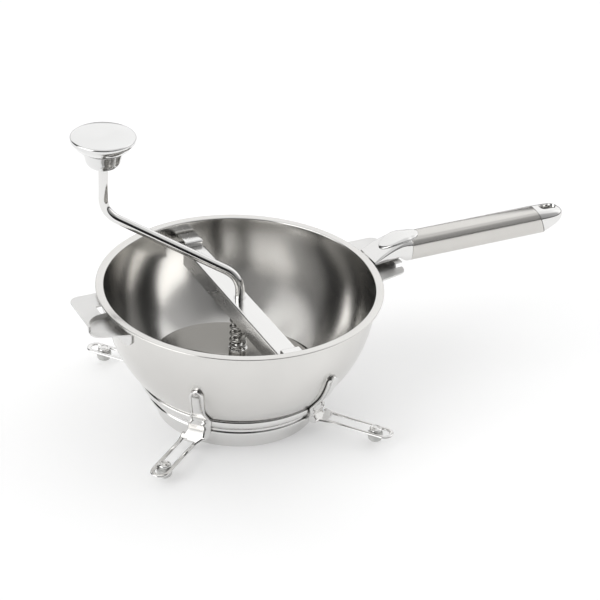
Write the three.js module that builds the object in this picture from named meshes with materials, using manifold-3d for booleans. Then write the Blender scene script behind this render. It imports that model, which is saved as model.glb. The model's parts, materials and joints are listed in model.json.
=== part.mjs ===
// Rotary food mill: a hemispherical bowl on a footed ring, with a perforated
// sieve in its bottom, a spring-loaded blade turned by a crank, and a crossbar
// that holds the crank down. Units are millimetres, +Z is up and +X runs along
// the handle. The base ring stands on z = 0 with the leg feet a little above it,
// and the origin is the centre of the footprint.
import * as THREE from 'three';
import { mergeVertices } from 'three/addons/utils/BufferGeometryUtils.js';
import loadManifold from 'manifold-3d';

const wasm = await loadManifold();
wasm.setup();

// ---------------------------------------------------------------- dimensions

const GAP = 0.3;                 // between pieces that touch or are welded
const RUNNING_GAP = 0.35;        // round a turning shaft

// Bowl: a pressed hemisphere with a flat flange and a stepped sieve seat.
const BOWL_RADIUS = 120;         // inside
const SHEET = 1;
const WALL_STRAIGHT = 6;         // upright stretch above the hemisphere
const FLANGE_WIDTH = 7.5;
const FLANGE_LIP = 2.2;          // how far the flange edge turns down
const SEAT_RADIUS = 80.5;        // upright skirt round the sieve
const SEAT_HEIGHT = 28;          // top of the ledge that the sieve lies on
const SEAT_LEDGE = 9;            // width of that ledge
const SEAT_STEP = 2.006;         // from that ledge up to the foot of the hemisphere
const RIM_HEIGHT = SEAT_HEIGHT + SEAT_STEP + Math.sqrt(BOWL_RADIUS ** 2 - SEAT_RADIUS ** 2)
  + WALL_STRAIGHT;
const ROUND_SIDES = 48;
const PROFILE_STEPS = 7;         // facets along the hemisphere's profile

// Base ring: one rolled strip with a bead, a groove, a flange and a plain band.
const RING_SHEET = 1.2;
const BEAD_BULGE = 1.1;          // how far the bead stands out from the bowl
const BEAD_TOP = 36.2;
const BEAD_BOTTOM = 30.5;
const GROOVE_RADIUS = 81.6;
const GROOVE_HEIGHT = 23.6;
const RING_FLANGE_RADIUS = 82.6;
const RING_FLANGE_HEIGHT = 19;
const BAND_RADIUS = 73.7;
const BAND_TOP = 17.2;
const BAND_LIP = 4;              // lip turned inwards at the bottom

// Legs: four stamped straps, each with a long loop and a rubber foot.
const LEG_COUNT = 4;
const LEG_AZIMUTH = 38.7;        // degrees from the handle to the first leg
const LEG_LEANS = [8.5, -19];    // degrees that each strap's top is turned, by pairs
const LEG_SHEET = 2.4;
const LEG_TOP = 14;              // top of the flat loop
const LEG_REACH = 155;           // tip, from the bowl's axis
const LEG_CLEARANCE = 0.6;       // between the upright strap and the ring's bead
const LEG_ROOT = RING_FLANGE_RADIUS + 2.8;   // where the strap passes the ring's flange
const LEG_BEND = 3;              // radius where the strap turns outwards
const LEG_TONGUE_TOP = RIM_HEIGHT - 43;   // height of the strap's upper end
const LEG_TONGUE_HALF = 6.4;
const LEG_WAIST_HALF = 10.5;
const LEG_TIP_HALF = 8.7;
const SLOT_HALF = 4.6;
const SLOT_START = 90;
const SLOT_END = 148;
const FOOT_REACH = 138;
const FOOT_BOTTOM = 3.5;
const FOOT_RADIUS = 6.8;
const FOOT_NECK_RADIUS = 4.6;
const STUD_HEAD_RADIUS = 5.6;
const STUD_HEAD_HEIGHT = 2;
const STUD_SHANK_RADIUS = 1.8;
const STUD_DEPTH = 6.5;
const FOOT_SIDES = 14;

// Side plates: one under the handle, one opposite as a helper grip.
const GRIP_REACH = BOWL_RADIUS + 29;
const HANDLE_PLATE_REACH = BOWL_RADIUS + 35;
const PLATE_SHEET = 1.5;
const PLATE_HALF = 35;           // of the upper side, nearly parallel to the handle
const PLATE_CORNER = 9;
const ARM_INNER_HALF = 34;       // of the lowered side, which tapers outwards
const ARM_OUTER_HALF = 27;
const PLATE_DROP = 5;            // how far the lowered arm lies below the plate
const PLATE_STEP_RADIUS = 16;    // round step between plate and lowered arm
const PLATE_NOTCH_DEPTH = 10;
const PLATE_NOTCH_HALF = 6.5;
const PLATE_NOTCH_OFFSET = 7;    // the notch lies to the left of the centre
const TAB_WIDTH_ANGLE = 13;      // degrees of wall that each welded tab covers
const TAB_LENGTH = 13;
const TAB_CORNER = 7;

// Handle: flattened ferrule, round tube and slotted end cap.
const HANDLE_LIFT = 3;           // tube axis above the flange
const TUBE_RADIUS = 12.5;
const TUBE_WALL = 0.9;
const TUBE_SQUARENESS = 2.7;     // 2 is a round tube, more is squarer
const TUBE_START = BOWL_RADIUS + 47.5;
const TUBE_END = BOWL_RADIUS + 188;
const HANDLE_REACH = TUBE_END + 26;
const CAP_SLANT = 4.5;           // the cap's top edge starts this much nearer the bowl
const FERRULE_FRONT_HALF = 14.2;
const FERRULE_GAP = 0.8;         // between the flange and the ferrule's front
const SPIGOT_LENGTH = 12;
const CLASP_START = BOWL_RADIUS + 19;
const CLASP_END = TUBE_START + 10.5;
const CLASP_HALF = 11;
const CLASP_THICKNESS = 1.2;
const HANG_HOLE_CENTRE = TUBE_END + 11;
const HANG_HOLE_LENGTH = 15;
const HANG_HOLE_WIDTH = 7.5;

// Crossbar: an inverted channel across the bowl, held down by two catches.
const BAR_WIDTH = 20;
const BAR_DEPTH = 18;
const BAR_SHEET = 1.5;
const BAR_TOP = RIM_HEIGHT - 15;
const BAR_HALF_LENGTH = BOWL_RADIUS - 7;
const BAR_WALL_HALF_LENGTH = BOWL_RADIUS - 19;
const CATCH_WIDTH = 17;
const CATCH_SHEET = 1.3;
const CATCH_HEIGHT = 5.5;        // above the bar
const CATCH_OVERLAP = 14;        // length of bar end under the catch
const CATCH_WALL_GAP = 0.8;      // to the bowl, whose flats stand inside its radius
const BUSH_WALL = 0.8;
const WASHER_THICKNESS = 1.4;
const WASHER_RADIUS = 8.8;

// Sieve and blade.
const SIEVE_THICKNESS = 0.9;
const SIEVE_CLEARANCE = 0.6;
const SIEVE_HOLE = 2.6;          // hole radius
const SIEVE_PITCH = 19;
const SIEVE_FIELD = 70;          // radius of the perforated field
const BLADE_RADIUS = 76;
const BLADE_SHEET = 1.4;
const BLADE_RISE = 15;
const BLADE_SWEEP = 150;         // degrees covered by each vane
const BLADE_AZIMUTH = -12;
const BLADE_CLEARANCE = 0.6;
const HUB_RADIUS = 8.2;
const HUB_TOP = 57;
const DRIVE_PIN_RADIUS = 1.5;
const DRIVE_PIN_HEIGHT = 52.5;

// Crank and knob.
const ROD_RADIUS = 4.25;
const ROD_SIDES = 12;
const PIVOT_BELOW_SIEVE = 8;
const CRANK_AZIMUTH = 144;
const CRANK_REACH = BOWL_RADIUS + 4;
const CRANK_LOW = RIM_HEIGHT + 6.5;  // height of the lower bend's corner
const CRANK_HIGH = RIM_HEIGHT + 53.5;  // height of the upper bend's corner
const CRANK_BEND = 15;
const KNOB_BOTTOM = RIM_HEIGHT + 99.7;
const KNOB_CUP_RADIUS = 16;
const KNOB_NECK_RADIUS = 17.3;
const KNOB_NECK_HEIGHT = KNOB_BOTTOM + 15.3;
const KNOB_RADIUS = 28.8;
const KNOB_EDGE_HEIGHT = KNOB_NECK_HEIGHT + 10;
const KNOB_CROWN = 5.5;
const KNOB_SIDES = 28;
const SMALL_SIDES = 16;          // facets round a bush, washer or hub
const RETAINER_RADIUS = 8;

// Pressure spring.
const SPRING_RADIUS = 7.05;      // to the middle of the wire
const WIRE_RADIUS = 1.1;
const SPRING_TURNS = 7.5;

// Derived places.
const BALL_CENTRE = RIM_HEIGHT - WALL_STRAIGHT;
const BOWL_OUTER = BOWL_RADIUS + SHEET;
const FLANGE_RADIUS = BOWL_RADIUS + FLANGE_WIDTH;
const PLATE_TOP = RIM_HEIGHT - FLANGE_LIP - GAP;
const TUBE_HEIGHT = RIM_HEIGHT + HANDLE_LIFT;
const SIEVE_TOP = SEAT_HEIGHT + GAP + SIEVE_THICKNESS;
const BLADE_BOTTOM = SIEVE_TOP + BLADE_CLEARANCE;
const BORE_RADIUS = ROD_RADIUS + RUNNING_GAP;
const CHANNEL_FIT = BAR_WIDTH / 2 - BAR_SHEET - GAP;   // what turns inside the crossbar
const CARRIER_BOTTOM = HUB_TOP + GAP;
const CARRIER_TOP = CARRIER_BOTTOM + WASHER_THICKNESS;
const BUSH_FLANGE_BOTTOM = BAR_TOP - BAR_SHEET - GAP - WASHER_THICKNESS;
const SPRING_SEAT_BOTTOM = BUSH_FLANGE_BOTTOM - GAP - WASHER_THICKNESS;
const UP = new THREE.Vector3(0, 0, 1);
const radians = THREE.MathUtils.degToRad;
const ballRadiusAt = (radius, height) =>
  Math.sqrt(radius ** 2 - Math.min(0, height - BALL_CENTRE) ** 2);
const ballHeightAt = (radius, distance) =>
  BALL_CENTRE - Math.sqrt(radius ** 2 - distance ** 2);

// ------------------------------------------------------------------ materials

const steel = (color, roughness) =>
  new THREE.MeshStandardMaterial({ color, roughness, metalness: 1 });
const satinSteel = steel(0xc9c7c3, 0.34);
const polishedSteel = steel(0xdedede, 0.12);
const brushedSteel = steel(0xb5b2ac, 0.42);
const springSteel = steel(0x8c8a86, 0.3);
const rubber = new THREE.MeshStandardMaterial({ color: 0xbdbdb9, roughness: 0.7, metalness: 0 });
const nylon = new THREE.MeshStandardMaterial({ color: 0xe8e6df, roughness: 0.5, metalness: 0 });

// ------------------------------------------------------------- shape builders

// A manifold solid from a closed three.js geometry, moved by an optional matrix.
function toSolid(geometry) {
  const bare = geometry.clone();
  bare.deleteAttribute('normal');
  bare.deleteAttribute('uv');
  const merged = mergeVertices(bare, 1e-4);
  const index = merged.index.array;
  const triangles = [];
  for (let i = 0; i < index.length; i += 3) {
    const [a, b, c] = [index[i], index[i + 1], index[i + 2]];
    if (a !== b && b !== c && c !== a) triangles.push(a, b, c);
  }
  const mesh = new wasm.Mesh({
    numProp: 3,
    vertProperties: new Float32Array(merged.attributes.position.array),
    triVerts: new Uint32Array(triangles),
  });
  return new wasm.Manifold(mesh);
}

function toGeometry(solid) {
  const { vertProperties, triVerts } = solid.getMesh();
  const geometry = new THREE.BufferGeometry();
  geometry.setAttribute('position', new THREE.BufferAttribute(new Float32Array(vertProperties), 3));
  geometry.setIndex(new THREE.BufferAttribute(new Uint32Array(triVerts), 1));
  return geometry;
}

const cut = (geometry, ...tools) =>
  toGeometry(tools.reduce((solid, tool) => solid.subtract(toSolid(tool)), toSolid(geometry)));

// The mirror image of an indexed geometry across the XZ plane, faces still outward.
function mirrored(geometry) {
  const image = geometry.clone().scale(1, -1, 1);
  const index = image.index.array;
  for (let i = 0; i < index.length; i += 3) {
    [index[i], index[i + 1]] = [index[i + 1], index[i]];
  }
  return image;
}

const join = (geometry, ...others) =>
  toGeometry(others.reduce((solid, other) => solid.add(toSolid(other)), toSolid(geometry)));

// A profile of [radius, height] pairs, counter-clockwise, turned about Z.
function revolve(profile, sides = ROUND_SIDES) {
  const onAxis = profile[0][0] === 0 && profile.at(-1)[0] === 0;
  const points = (onAxis ? profile : [...profile, profile[0]]).map(([r, z]) => new THREE.Vector2(r, z));
  return new THREE.LatheGeometry(points, sides).rotateX(Math.PI / 2);
}

// A hollow or solid disc between two heights.
function disc(outer, bottom, top, inner = 0, sides = ROUND_SIDES) {
  return revolve([[inner, bottom], [outer, bottom], [outer, top], [inner, top]], sides);
}

// Points along an arc of a circle in a profile, from one angle to another.
function arcPoints(centre, radius, from, to, steps) {
  return Array.from({ length: steps + 1 }, (_, i) => {
    const angle = radians(from + (to - from) * i / steps);
    return [centre[0] + radius * Math.cos(angle), centre[1] + radius * Math.sin(angle)];
  });
}

// A plan outline of [x, y] pairs, lifted between two heights.
function slab(outline, bottom, top) {
  const shape = new THREE.Shape(outline.map(([x, y]) => new THREE.Vector2(x, y)));
  const slabGeometry = new THREE.ExtrudeGeometry(shape, { depth: top - bottom, bevelEnabled: false });
  return slabGeometry.translate(0, 0, bottom);
}

// A closed skin through rings that all have the same number of points.
function loft(rings) {
  const count = rings[0].length;
  const positions = rings.flat().flatMap((p) => [p.x, p.y, p.z]);
  const index = [];
  for (let ring = 0; ring < rings.length - 1; ring += 1) {
    for (let i = 0; i < count; i += 1) {
      const a = ring * count + i;
      const b = ring * count + (i + 1) % count;
      index.push(a, b, b + count, a, b + count, a + count);
    }
  }
  const last = (rings.length - 1) * count;
  for (let i = 1; i < count - 1; i += 1) {
    index.push(0, i + 1, i);
    index.push(last, last + i, last + i + 1);
  }
  const geometry = new THREE.BufferGeometry();
  geometry.setAttribute('position', new THREE.Float32BufferAttribute(positions, 3));
  geometry.setIndex(index);
  return geometry;
}

// Round bar along a path of [distance, height] pairs in the XZ plane.
function bentRod(path, radius) {
  const rings = path.map(([x, z], i) => {
    const before = path[Math.max(0, i - 1)];
    const after = path[Math.min(path.length - 1, i + 1)];
    const slope = Math.atan2(after[1] - before[1], after[0] - before[0]);
    return Array.from({ length: ROD_SIDES }, (_, k) => {
      const angle = 2 * Math.PI * k / ROD_SIDES;
      const across = radius * Math.cos(angle);
      const side = radius * Math.sin(angle);
      return new THREE.Vector3(x - across * Math.sin(slope), side, z + across * Math.cos(slope));
    });
  });
  return loft(rings.map((ring) => ring.toReversed()));
}

// Flat strap along a path of [distance, height, half width] in the XZ plane, with
// each section turned about Z by the angle that turn gives for its height.
function strap(path, thickness, turn) {
  return loft(path.map(([x, z, half], i) => {
    const before = path[Math.max(0, i - 1)];
    const after = path[Math.min(path.length - 1, i + 1)];
    const slope = Math.atan2(after[1] - before[1], after[0] - before[0]);
    const [dx, dz] = [-Math.sin(slope) * thickness / 2, Math.cos(slope) * thickness / 2];
    const angle = radians(turn(z));
    return [
      new THREE.Vector3(x - dx, -half, z - dz),
      new THREE.Vector3(x - dx, half, z - dz),
      new THREE.Vector3(x + dx, half, z + dz),
      new THREE.Vector3(x + dx, -half, z + dz),
    ].map((point) => point.applyAxisAngle(UP, angle));
  }));
}

// A ring of points shaped between a circle (power 2) and a rectangle (higher).
function softSection(x, half, top, bottom, power, sides = 20) {
  const middle = (top + bottom) / 2;
  const rise = (top - bottom) / 2;
  const bend = (value) => Math.sign(value) * Math.abs(value) ** (2 / power);
  return Array.from({ length: sides }, (_, i) => {
    const angle = 2 * Math.PI * (i + 0.5) / sides;
    return new THREE.Vector3(x, half * bend(Math.cos(angle)), middle + rise * bend(Math.sin(angle)));
  });
}

// ---------------------------------------------------------------------- bowl

function bowl() {
  const innerStart = Math.asin(SEAT_RADIUS / BOWL_RADIUS);
  const outerStart = Math.asin((SEAT_RADIUS + SHEET) / BOWL_OUTER);
  const centre = [0, BALL_CENTRE];
  const innerAngle = THREE.MathUtils.radToDeg(innerStart) - 90;
  const outerAngle = THREE.MathUtils.radToDeg(outerStart) - 90;
  const inner = arcPoints(centre, BOWL_RADIUS, 0, innerAngle, PROFILE_STEPS);
  const outer = arcPoints(centre, BOWL_OUTER, outerAngle, 0, PROFILE_STEPS);
  return revolve([
    [SEAT_RADIUS - SEAT_LEDGE, SEAT_HEIGHT - SHEET],
    [SEAT_RADIUS + SHEET, SEAT_HEIGHT - SHEET],
    ...outer,
    [BOWL_OUTER, RIM_HEIGHT - SHEET],
    [FLANGE_RADIUS - SHEET, RIM_HEIGHT - SHEET],
    [FLANGE_RADIUS - SHEET, RIM_HEIGHT - FLANGE_LIP],
    [FLANGE_RADIUS, RIM_HEIGHT - FLANGE_LIP],
    [FLANGE_RADIUS, RIM_HEIGHT - SHEET / 2],
    [FLANGE_RADIUS - SHEET / 2, RIM_HEIGHT],
    [BOWL_RADIUS, RIM_HEIGHT],
    ...inner,
    [SEAT_RADIUS, SEAT_HEIGHT],
    [SEAT_RADIUS - SEAT_LEDGE, SEAT_HEIGHT],
  ]);
}

function baseRing() {
  const beadInner = ballRadiusAt(BOWL_OUTER, BEAD_TOP) + GAP;
  const bead = beadInner + BEAD_BULGE;
  const t = RING_SHEET;
  return revolve([
    [BAND_RADIUS - BAND_LIP, 0],
    [BAND_RADIUS - t / 2, 0],
    [BAND_RADIUS, t / 2],
    [BAND_RADIUS, BAND_TOP],
    [RING_FLANGE_RADIUS - t, BAND_TOP],
    [RING_FLANGE_RADIUS, RING_FLANGE_HEIGHT - t / 2],
    [RING_FLANGE_RADIUS, RING_FLANGE_HEIGHT + t / 2],
    [GROOVE_RADIUS, RING_FLANGE_HEIGHT + 1.5 * t],
    [GROOVE_RADIUS, GROOVE_HEIGHT],
    [bead - BEAD_BULGE, BEAD_BOTTOM],
    [bead, (BEAD_TOP + BEAD_BOTTOM) / 2],
    [bead - BEAD_BULGE / 4, BEAD_TOP],
    [beadInner, BEAD_TOP],
    [beadInner, BEAD_TOP - t],
    [bead - BEAD_BULGE - t, BEAD_BOTTOM],
    [GROOVE_RADIUS - t, GROOVE_HEIGHT + t / 2],
    [GROOVE_RADIUS - t, BAND_TOP + t],
    [BAND_RADIUS - t, BAND_TOP + t],
    [BAND_RADIUS - t, t],
    [BAND_RADIUS - BAND_LIP, t],
  ]);
}

function sieveDisc() {
  const bottom = SEAT_HEIGHT + GAP;
  const holes = [disc(BORE_RADIUS, bottom - 1, SIEVE_TOP + 1, 0, ROD_SIDES)];
  const rows = Math.ceil(SIEVE_FIELD / SIEVE_PITCH);
  const rowSpacing = SIEVE_PITCH * Math.sqrt(3) / 2;
  for (let row = -rows - 1; row <= rows + 1; row += 1) {
    for (let column = -rows - 1; column <= rows + 1; column += 1) {
      const x = (column + (row % 2 === 0 ? 0 : 0.5)) * SIEVE_PITCH;
      const y = row * rowSpacing;
      const distance = Math.hypot(x, y);
      if (distance < 1 || distance > SIEVE_FIELD) continue;
      holes.push(disc(SIEVE_HOLE, bottom - 1, SIEVE_TOP + 1, 0, 6).translate(x, y, 0));
    }
  }
  return cut(disc(SEAT_RADIUS - SIEVE_CLEARANCE, bottom, SIEVE_TOP), ...holes);
}

// ---------------------------------------------------------------------- legs

// The strap's [distance, height, half width] from its upper end to the loop's tip.
function legPath() {
  const bead = ballRadiusAt(BOWL_OUTER, BEAD_TOP) + GAP + BEAD_BULGE;
  const upright = bead + LEG_CLEARANCE + LEG_SHEET / 2;
  const flat = LEG_TOP - LEG_SHEET / 2;
  const tongueRadius = BOWL_OUTER + GAP + LEG_SHEET / 2;
  const tongueSteps = 5;
  const kneeHeight = ballHeightAt(tongueRadius, upright);
  const path = [];
  for (let i = 0; i <= tongueSteps; i += 1) {
    const height = LEG_TONGUE_TOP + (kneeHeight - LEG_TONGUE_TOP) * i / tongueSteps;
    const half = i === 0 ? LEG_TONGUE_HALF * 0.55 : LEG_TONGUE_HALF;
    path.push([ballRadiusAt(tongueRadius, height), height, half]);
  }
  path.push([upright, BEAD_BOTTOM + 1.5, LEG_WAIST_HALF]);
  path.push([LEG_ROOT + 1.4, GROOVE_HEIGHT, LEG_WAIST_HALF]);
  const bend = arcPoints([LEG_ROOT + LEG_BEND, flat + LEG_BEND], LEG_BEND, 180, 270, 3);
  for (const [x, z] of bend) path.push([x, z, LEG_WAIST_HALF]);
  const tipStart = LEG_REACH - LEG_TIP_HALF;
  path.push([tipStart, flat, LEG_TIP_HALF]);
  for (const share of [0.45, 0.75, 0.93]) {
    path.push([tipStart + LEG_TIP_HALF * share, flat, LEG_TIP_HALF * Math.sqrt(1 - share ** 2)]);
  }
  path.push([LEG_REACH, flat, LEG_TIP_HALF * 0.12]);
  return path;
}

// One leg whose strap turns about the bowl's axis, by an angle in degrees, as it climbs.
function leg(lean) {
  const flat = LEG_TOP - LEG_SHEET / 2;
  const turn = (height) =>
    lean * Math.max(0, (height - flat - 0.01) / (LEG_TONGUE_TOP - flat)) ** 0.35;
  const start = SLOT_START + SLOT_HALF;
  const end = SLOT_END - SLOT_HALF;
  const slot = slab([
    ...arcPoints([end, 0], SLOT_HALF, -90, 90, 6),
    ...arcPoints([start, 0], SLOT_HALF, 90, 270, 6),
  ], LEG_TOP - LEG_SHEET - 2, LEG_TOP + 2);
  return cut(strap(legPath(), LEG_SHEET, turn), slot);
}

function foot() {
  const collar = LEG_TOP - LEG_SHEET - GAP;
  const body = revolve([
    [0, FOOT_BOTTOM], [FOOT_RADIUS * 0.5, FOOT_BOTTOM + 0.4],
    [FOOT_RADIUS * 0.88, FOOT_BOTTOM + 2], [FOOT_RADIUS, FOOT_BOTTOM + 4.5],
    [FOOT_RADIUS, collar], [FOOT_NECK_RADIUS, collar], [FOOT_NECK_RADIUS, LEG_TOP], [0, LEG_TOP],
  ], FOOT_SIDES);
  const hole = disc(STUD_SHANK_RADIUS + GAP, LEG_TOP - STUD_DEPTH - GAP, LEG_TOP + 1, 0, 10);
  return cut(body, hole).translate(FOOT_REACH, 0, 0);
}

function footStud() {
  const seat = LEG_TOP + GAP;
  return revolve([
    [0, LEG_TOP - STUD_DEPTH], [STUD_SHANK_RADIUS, LEG_TOP - STUD_DEPTH],
    [STUD_SHANK_RADIUS, seat], [STUD_HEAD_RADIUS, seat],
    [STUD_HEAD_RADIUS * 0.92, seat + STUD_HEAD_HEIGHT * 0.45],
    [STUD_HEAD_RADIUS * 0.55, seat + STUD_HEAD_HEIGHT], [0, seat + STUD_HEAD_HEIGHT],
  ], FOOT_SIDES).translate(FOOT_REACH, 0, 0);
}

// --------------------------------------------------------------- side plates

// A tab bent down against the bowl's wall, centred on an angle in degrees, with its
// lower corners rounded.
function wallTab(angle, top) {
  const inner = BOWL_OUTER + GAP;
  const halfAngle = TAB_WIDTH_ANGLE / 2;
  const halfWidth = inner * Math.sin(radians(halfAngle));
  const side = halfWidth - TAB_CORNER;
  const drop = TAB_LENGTH - TAB_CORNER;
  const band = slab([
    ...arcPoints([0, 0], inner + PLATE_SHEET, -halfAngle, halfAngle, 3),
    ...arcPoints([0, 0], inner, halfAngle, -halfAngle, 3),
  ], -TAB_LENGTH, 0);
  const rounded = slab([
    [-1, -halfWidth],
    ...arcPoints([drop, -side], TAB_CORNER, -90, 0, 4),
    ...arcPoints([drop, side], TAB_CORNER, 0, 90, 4),
    [-1, halfWidth],
  ], 0, 2 * inner).rotateY(Math.PI / 2);
  return toGeometry(toSolid(band).intersect(toSolid(rounded)))
    .rotateZ(radians(angle)).translate(0, 0, top);
}

const angleOnWall = (radius, half) => THREE.MathUtils.radToDeg(Math.asin(half / radius));

// A plan outline along the bowl's wall and out to a reach, wider on its left side.
function plateOutline(reach) {
  const inner = BOWL_OUTER + GAP;
  const corner = PLATE_CORNER;
  const left = angleOnWall(inner, PLATE_HALF);
  const right = angleOnWall(inner, ARM_INNER_HALF);
  return [
    ...arcPoints([reach - corner, corner - ARM_OUTER_HALF], corner, -72, 0, 4),
    ...arcPoints([reach - corner, PLATE_HALF - corner], corner, 0, 88, 5),
    ...arcPoints([0, 0], inner, left, -right, 8),
  ];
}

// A plate that reaches out along +X under the flange, with its right arm lowered.
function sidePlate(reach) {
  const inner = BOWL_OUTER + GAP;
  const low = PLATE_TOP - PLATE_SHEET;
  const armLow = low - PLATE_DROP;
  const stepX = inner + PLATE_NOTCH_DEPTH;
  const stepY = -PLATE_STEP_RADIUS;
  const beyond = reach + 5;
  const across = 2 * PLATE_HALF;
  const recess = (radius, bottom, top) => slab([
    [0, -across], [beyond, -across], [beyond, stepY],
    ...arcPoints([stepX, stepY], radius, 0, 90, 8),
    [0, stepY + radius],
  ], bottom, top);
  const notch = slab([
    [0, PLATE_NOTCH_OFFSET - PLATE_NOTCH_HALF], [stepX, PLATE_NOTCH_OFFSET - PLATE_NOTCH_HALF],
    [stepX, PLATE_NOTCH_OFFSET + PLATE_NOTCH_HALF], [0, PLATE_NOTCH_OFFSET + PLATE_NOTCH_HALF],
  ], armLow - 1, PLATE_TOP + 1);
  const below = slab([[0, -across], [beyond, -across], [beyond, across], [0, across]], armLow - 1, low);
  const plate = cut(
    slab(plateOutline(reach), armLow, PLATE_TOP),
    recess(PLATE_STEP_RADIUS, armLow + PLATE_SHEET, PLATE_TOP + 1),
    cut(below, recess(PLATE_STEP_RADIUS + PLATE_SHEET, armLow - 2, low + 1)),
    notch,
  );
  const halfTab = TAB_WIDTH_ANGLE / 2;
  const armTab = wallTab(halfTab - angleOnWall(inner, ARM_INNER_HALF), armLow + PLATE_SHEET);
  const plateTab = wallTab(angleOnWall(inner, PLATE_HALF) - halfTab, PLATE_TOP);
  return join(plate, armTab, plateTab);
}

// -------------------------------------------------------------------- handle

// One section of the ferrule: flat and wide at the flange, round at the tube.
function ferruleSection(x, lift = 0) {
  const front = FLANGE_RADIUS + FERRULE_GAP;
  const edge = HANDLE_PLATE_REACH + 0.5;
  const seat = PLATE_TOP + GAP;
  const share = Math.min(1, (x - front) / (TUBE_START - front));
  const behindPlate = THREE.MathUtils.clamp((x - edge) / (TUBE_START - edge), 0, 1);
  const top = RIM_HEIGHT + (HANDLE_LIFT + TUBE_RADIUS) * Math.sin(Math.PI / 2 * share) + lift;
  const drop = seat - (TUBE_HEIGHT - TUBE_RADIUS);
  const bottom = seat - drop * Math.sin(Math.PI / 2 * behindPlate);
  const half = FERRULE_FRONT_HALF + (TUBE_RADIUS - FERRULE_FRONT_HALF) * share ** 2 + lift;
  return softSection(x, half, top, bottom, 8 - (8 - TUBE_SQUARENESS) * share);
}

function ferruleStations() {
  const front = FLANGE_RADIUS + FERRULE_GAP;
  const edge = HANDLE_PLATE_REACH + 0.5;
  const steps = 4;
  const alongPlate = Array.from({ length: steps }, (_, i) => front + (edge - front) * i / steps);
  const behind = Array.from({ length: steps + 1 }, (_, i) => edge + (TUBE_START - edge) * i / steps);
  return [...alongPlate, ...behind];
}

function handleFerrule() {
  const body = loft(ferruleStations().map((x) => ferruleSection(x)));
  return join(body, spigot(TUBE_START - 2, TUBE_START + SPIGOT_LENGTH));
}

// A plug that fits inside the tube, between two distances along the handle.
function spigot(from, to) {
  const radius = TUBE_RADIUS - TUBE_WALL - GAP;
  return disc(radius, from, to, 0, 20).rotateY(Math.PI / 2).translate(0, 0, TUBE_HEIGHT);
}

// A section leant over, so that its top lies nearer the bowl than its bottom.
function leant(section, slant) {
  return section.map((p) =>
    new THREE.Vector3(p.x - slant * (p.z - TUBE_HEIGHT) / TUBE_RADIUS, p.y, p.z));
}

function handleTube() {
  const section = (x, radius, slant) =>
    leant(softSection(x, radius, TUBE_HEIGHT + radius, TUBE_HEIGHT - radius, TUBE_SQUARENESS), slant);
  const inner = TUBE_RADIUS - TUBE_WALL;
  const end = TUBE_END - GAP;
  const outside = loft([section(TUBE_START + GAP, TUBE_RADIUS, 0), section(end, TUBE_RADIUS, CAP_SLANT)]);
  const bore = loft([section(TUBE_START - 5, inner, 0), section(TUBE_END + 15, inner, 0)]);
  return cut(outside, bore);
}

function handleEndCap() {
  const length = HANDLE_REACH - TUBE_END;
  const top = TUBE_HEIGHT + TUBE_RADIUS;
  const bottom = TUBE_HEIGHT - TUBE_RADIUS;
  const tipHeight = TUBE_HEIGHT + TUBE_RADIUS * 0.38;
  const shares = [0, 0.2, 0.4, 0.6, 0.78, 0.9, 0.97, 1];
  const body = loft(shares.map((share) => {
    const upper = tipHeight + (top - tipHeight) * (1 - 0.22 * share) * Math.sqrt(1.005 - share ** 6);
    const lower = tipHeight - (tipHeight - bottom) * (1 - 0.62 * share) * Math.sqrt(1.005 - share ** 6);
    const half = TUBE_RADIUS * Math.sqrt(1.005 - share ** 4);
    const section = softSection(TUBE_END + length * share, Math.min(half, TUBE_RADIUS),
      Math.min(upper, top), Math.max(lower, bottom), TUBE_SQUARENESS);
    return leant(section, CAP_SLANT * Math.max(0, 1 - share / 0.6));
  }));
  const halfWidth = HANG_HOLE_WIDTH / 2;
  const reach = HANG_HOLE_LENGTH / 2 - halfWidth;
  const hole = slab([
    ...arcPoints([HANG_HOLE_CENTRE + reach, 0], halfWidth, -90, 90, 6),
    ...arcPoints([HANG_HOLE_CENTRE - reach, 0], halfWidth, 90, 270, 6),
  ], bottom - 5, top + 5);
  return cut(join(body, spigot(TUBE_END - SPIGOT_LENGTH, TUBE_END + 6)), hole);
}

// A leaf-shaped clasp lying over the ferrule and the start of the tube.
function handleClasp() {
  const sides = 24;
  const middle = (CLASP_START + CLASP_END) / 2;
  const halfLength = (CLASP_END - CLASP_START) / 2;
  const leaf = slab(Array.from({ length: sides }, (_, i) => {
    const angle = 2 * Math.PI * i / sides;
    return [middle + halfLength * Math.cos(angle), CLASP_HALF * Math.sin(angle)];
  }), TUBE_HEIGHT, TUBE_HEIGHT + 2 * TUBE_RADIUS);
  const stations = [...ferruleStations(), CLASP_END + 3];
  const layer = (lift) => toSolid(loft(stations.map((x) => ferruleSection(x, lift))));
  const shell = layer(GAP + CLASP_THICKNESS).subtract(layer(GAP));
  return toGeometry(toSolid(leaf).intersect(shell));
}

// ----------------------------------------------------- crossbar and its parts

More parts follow.
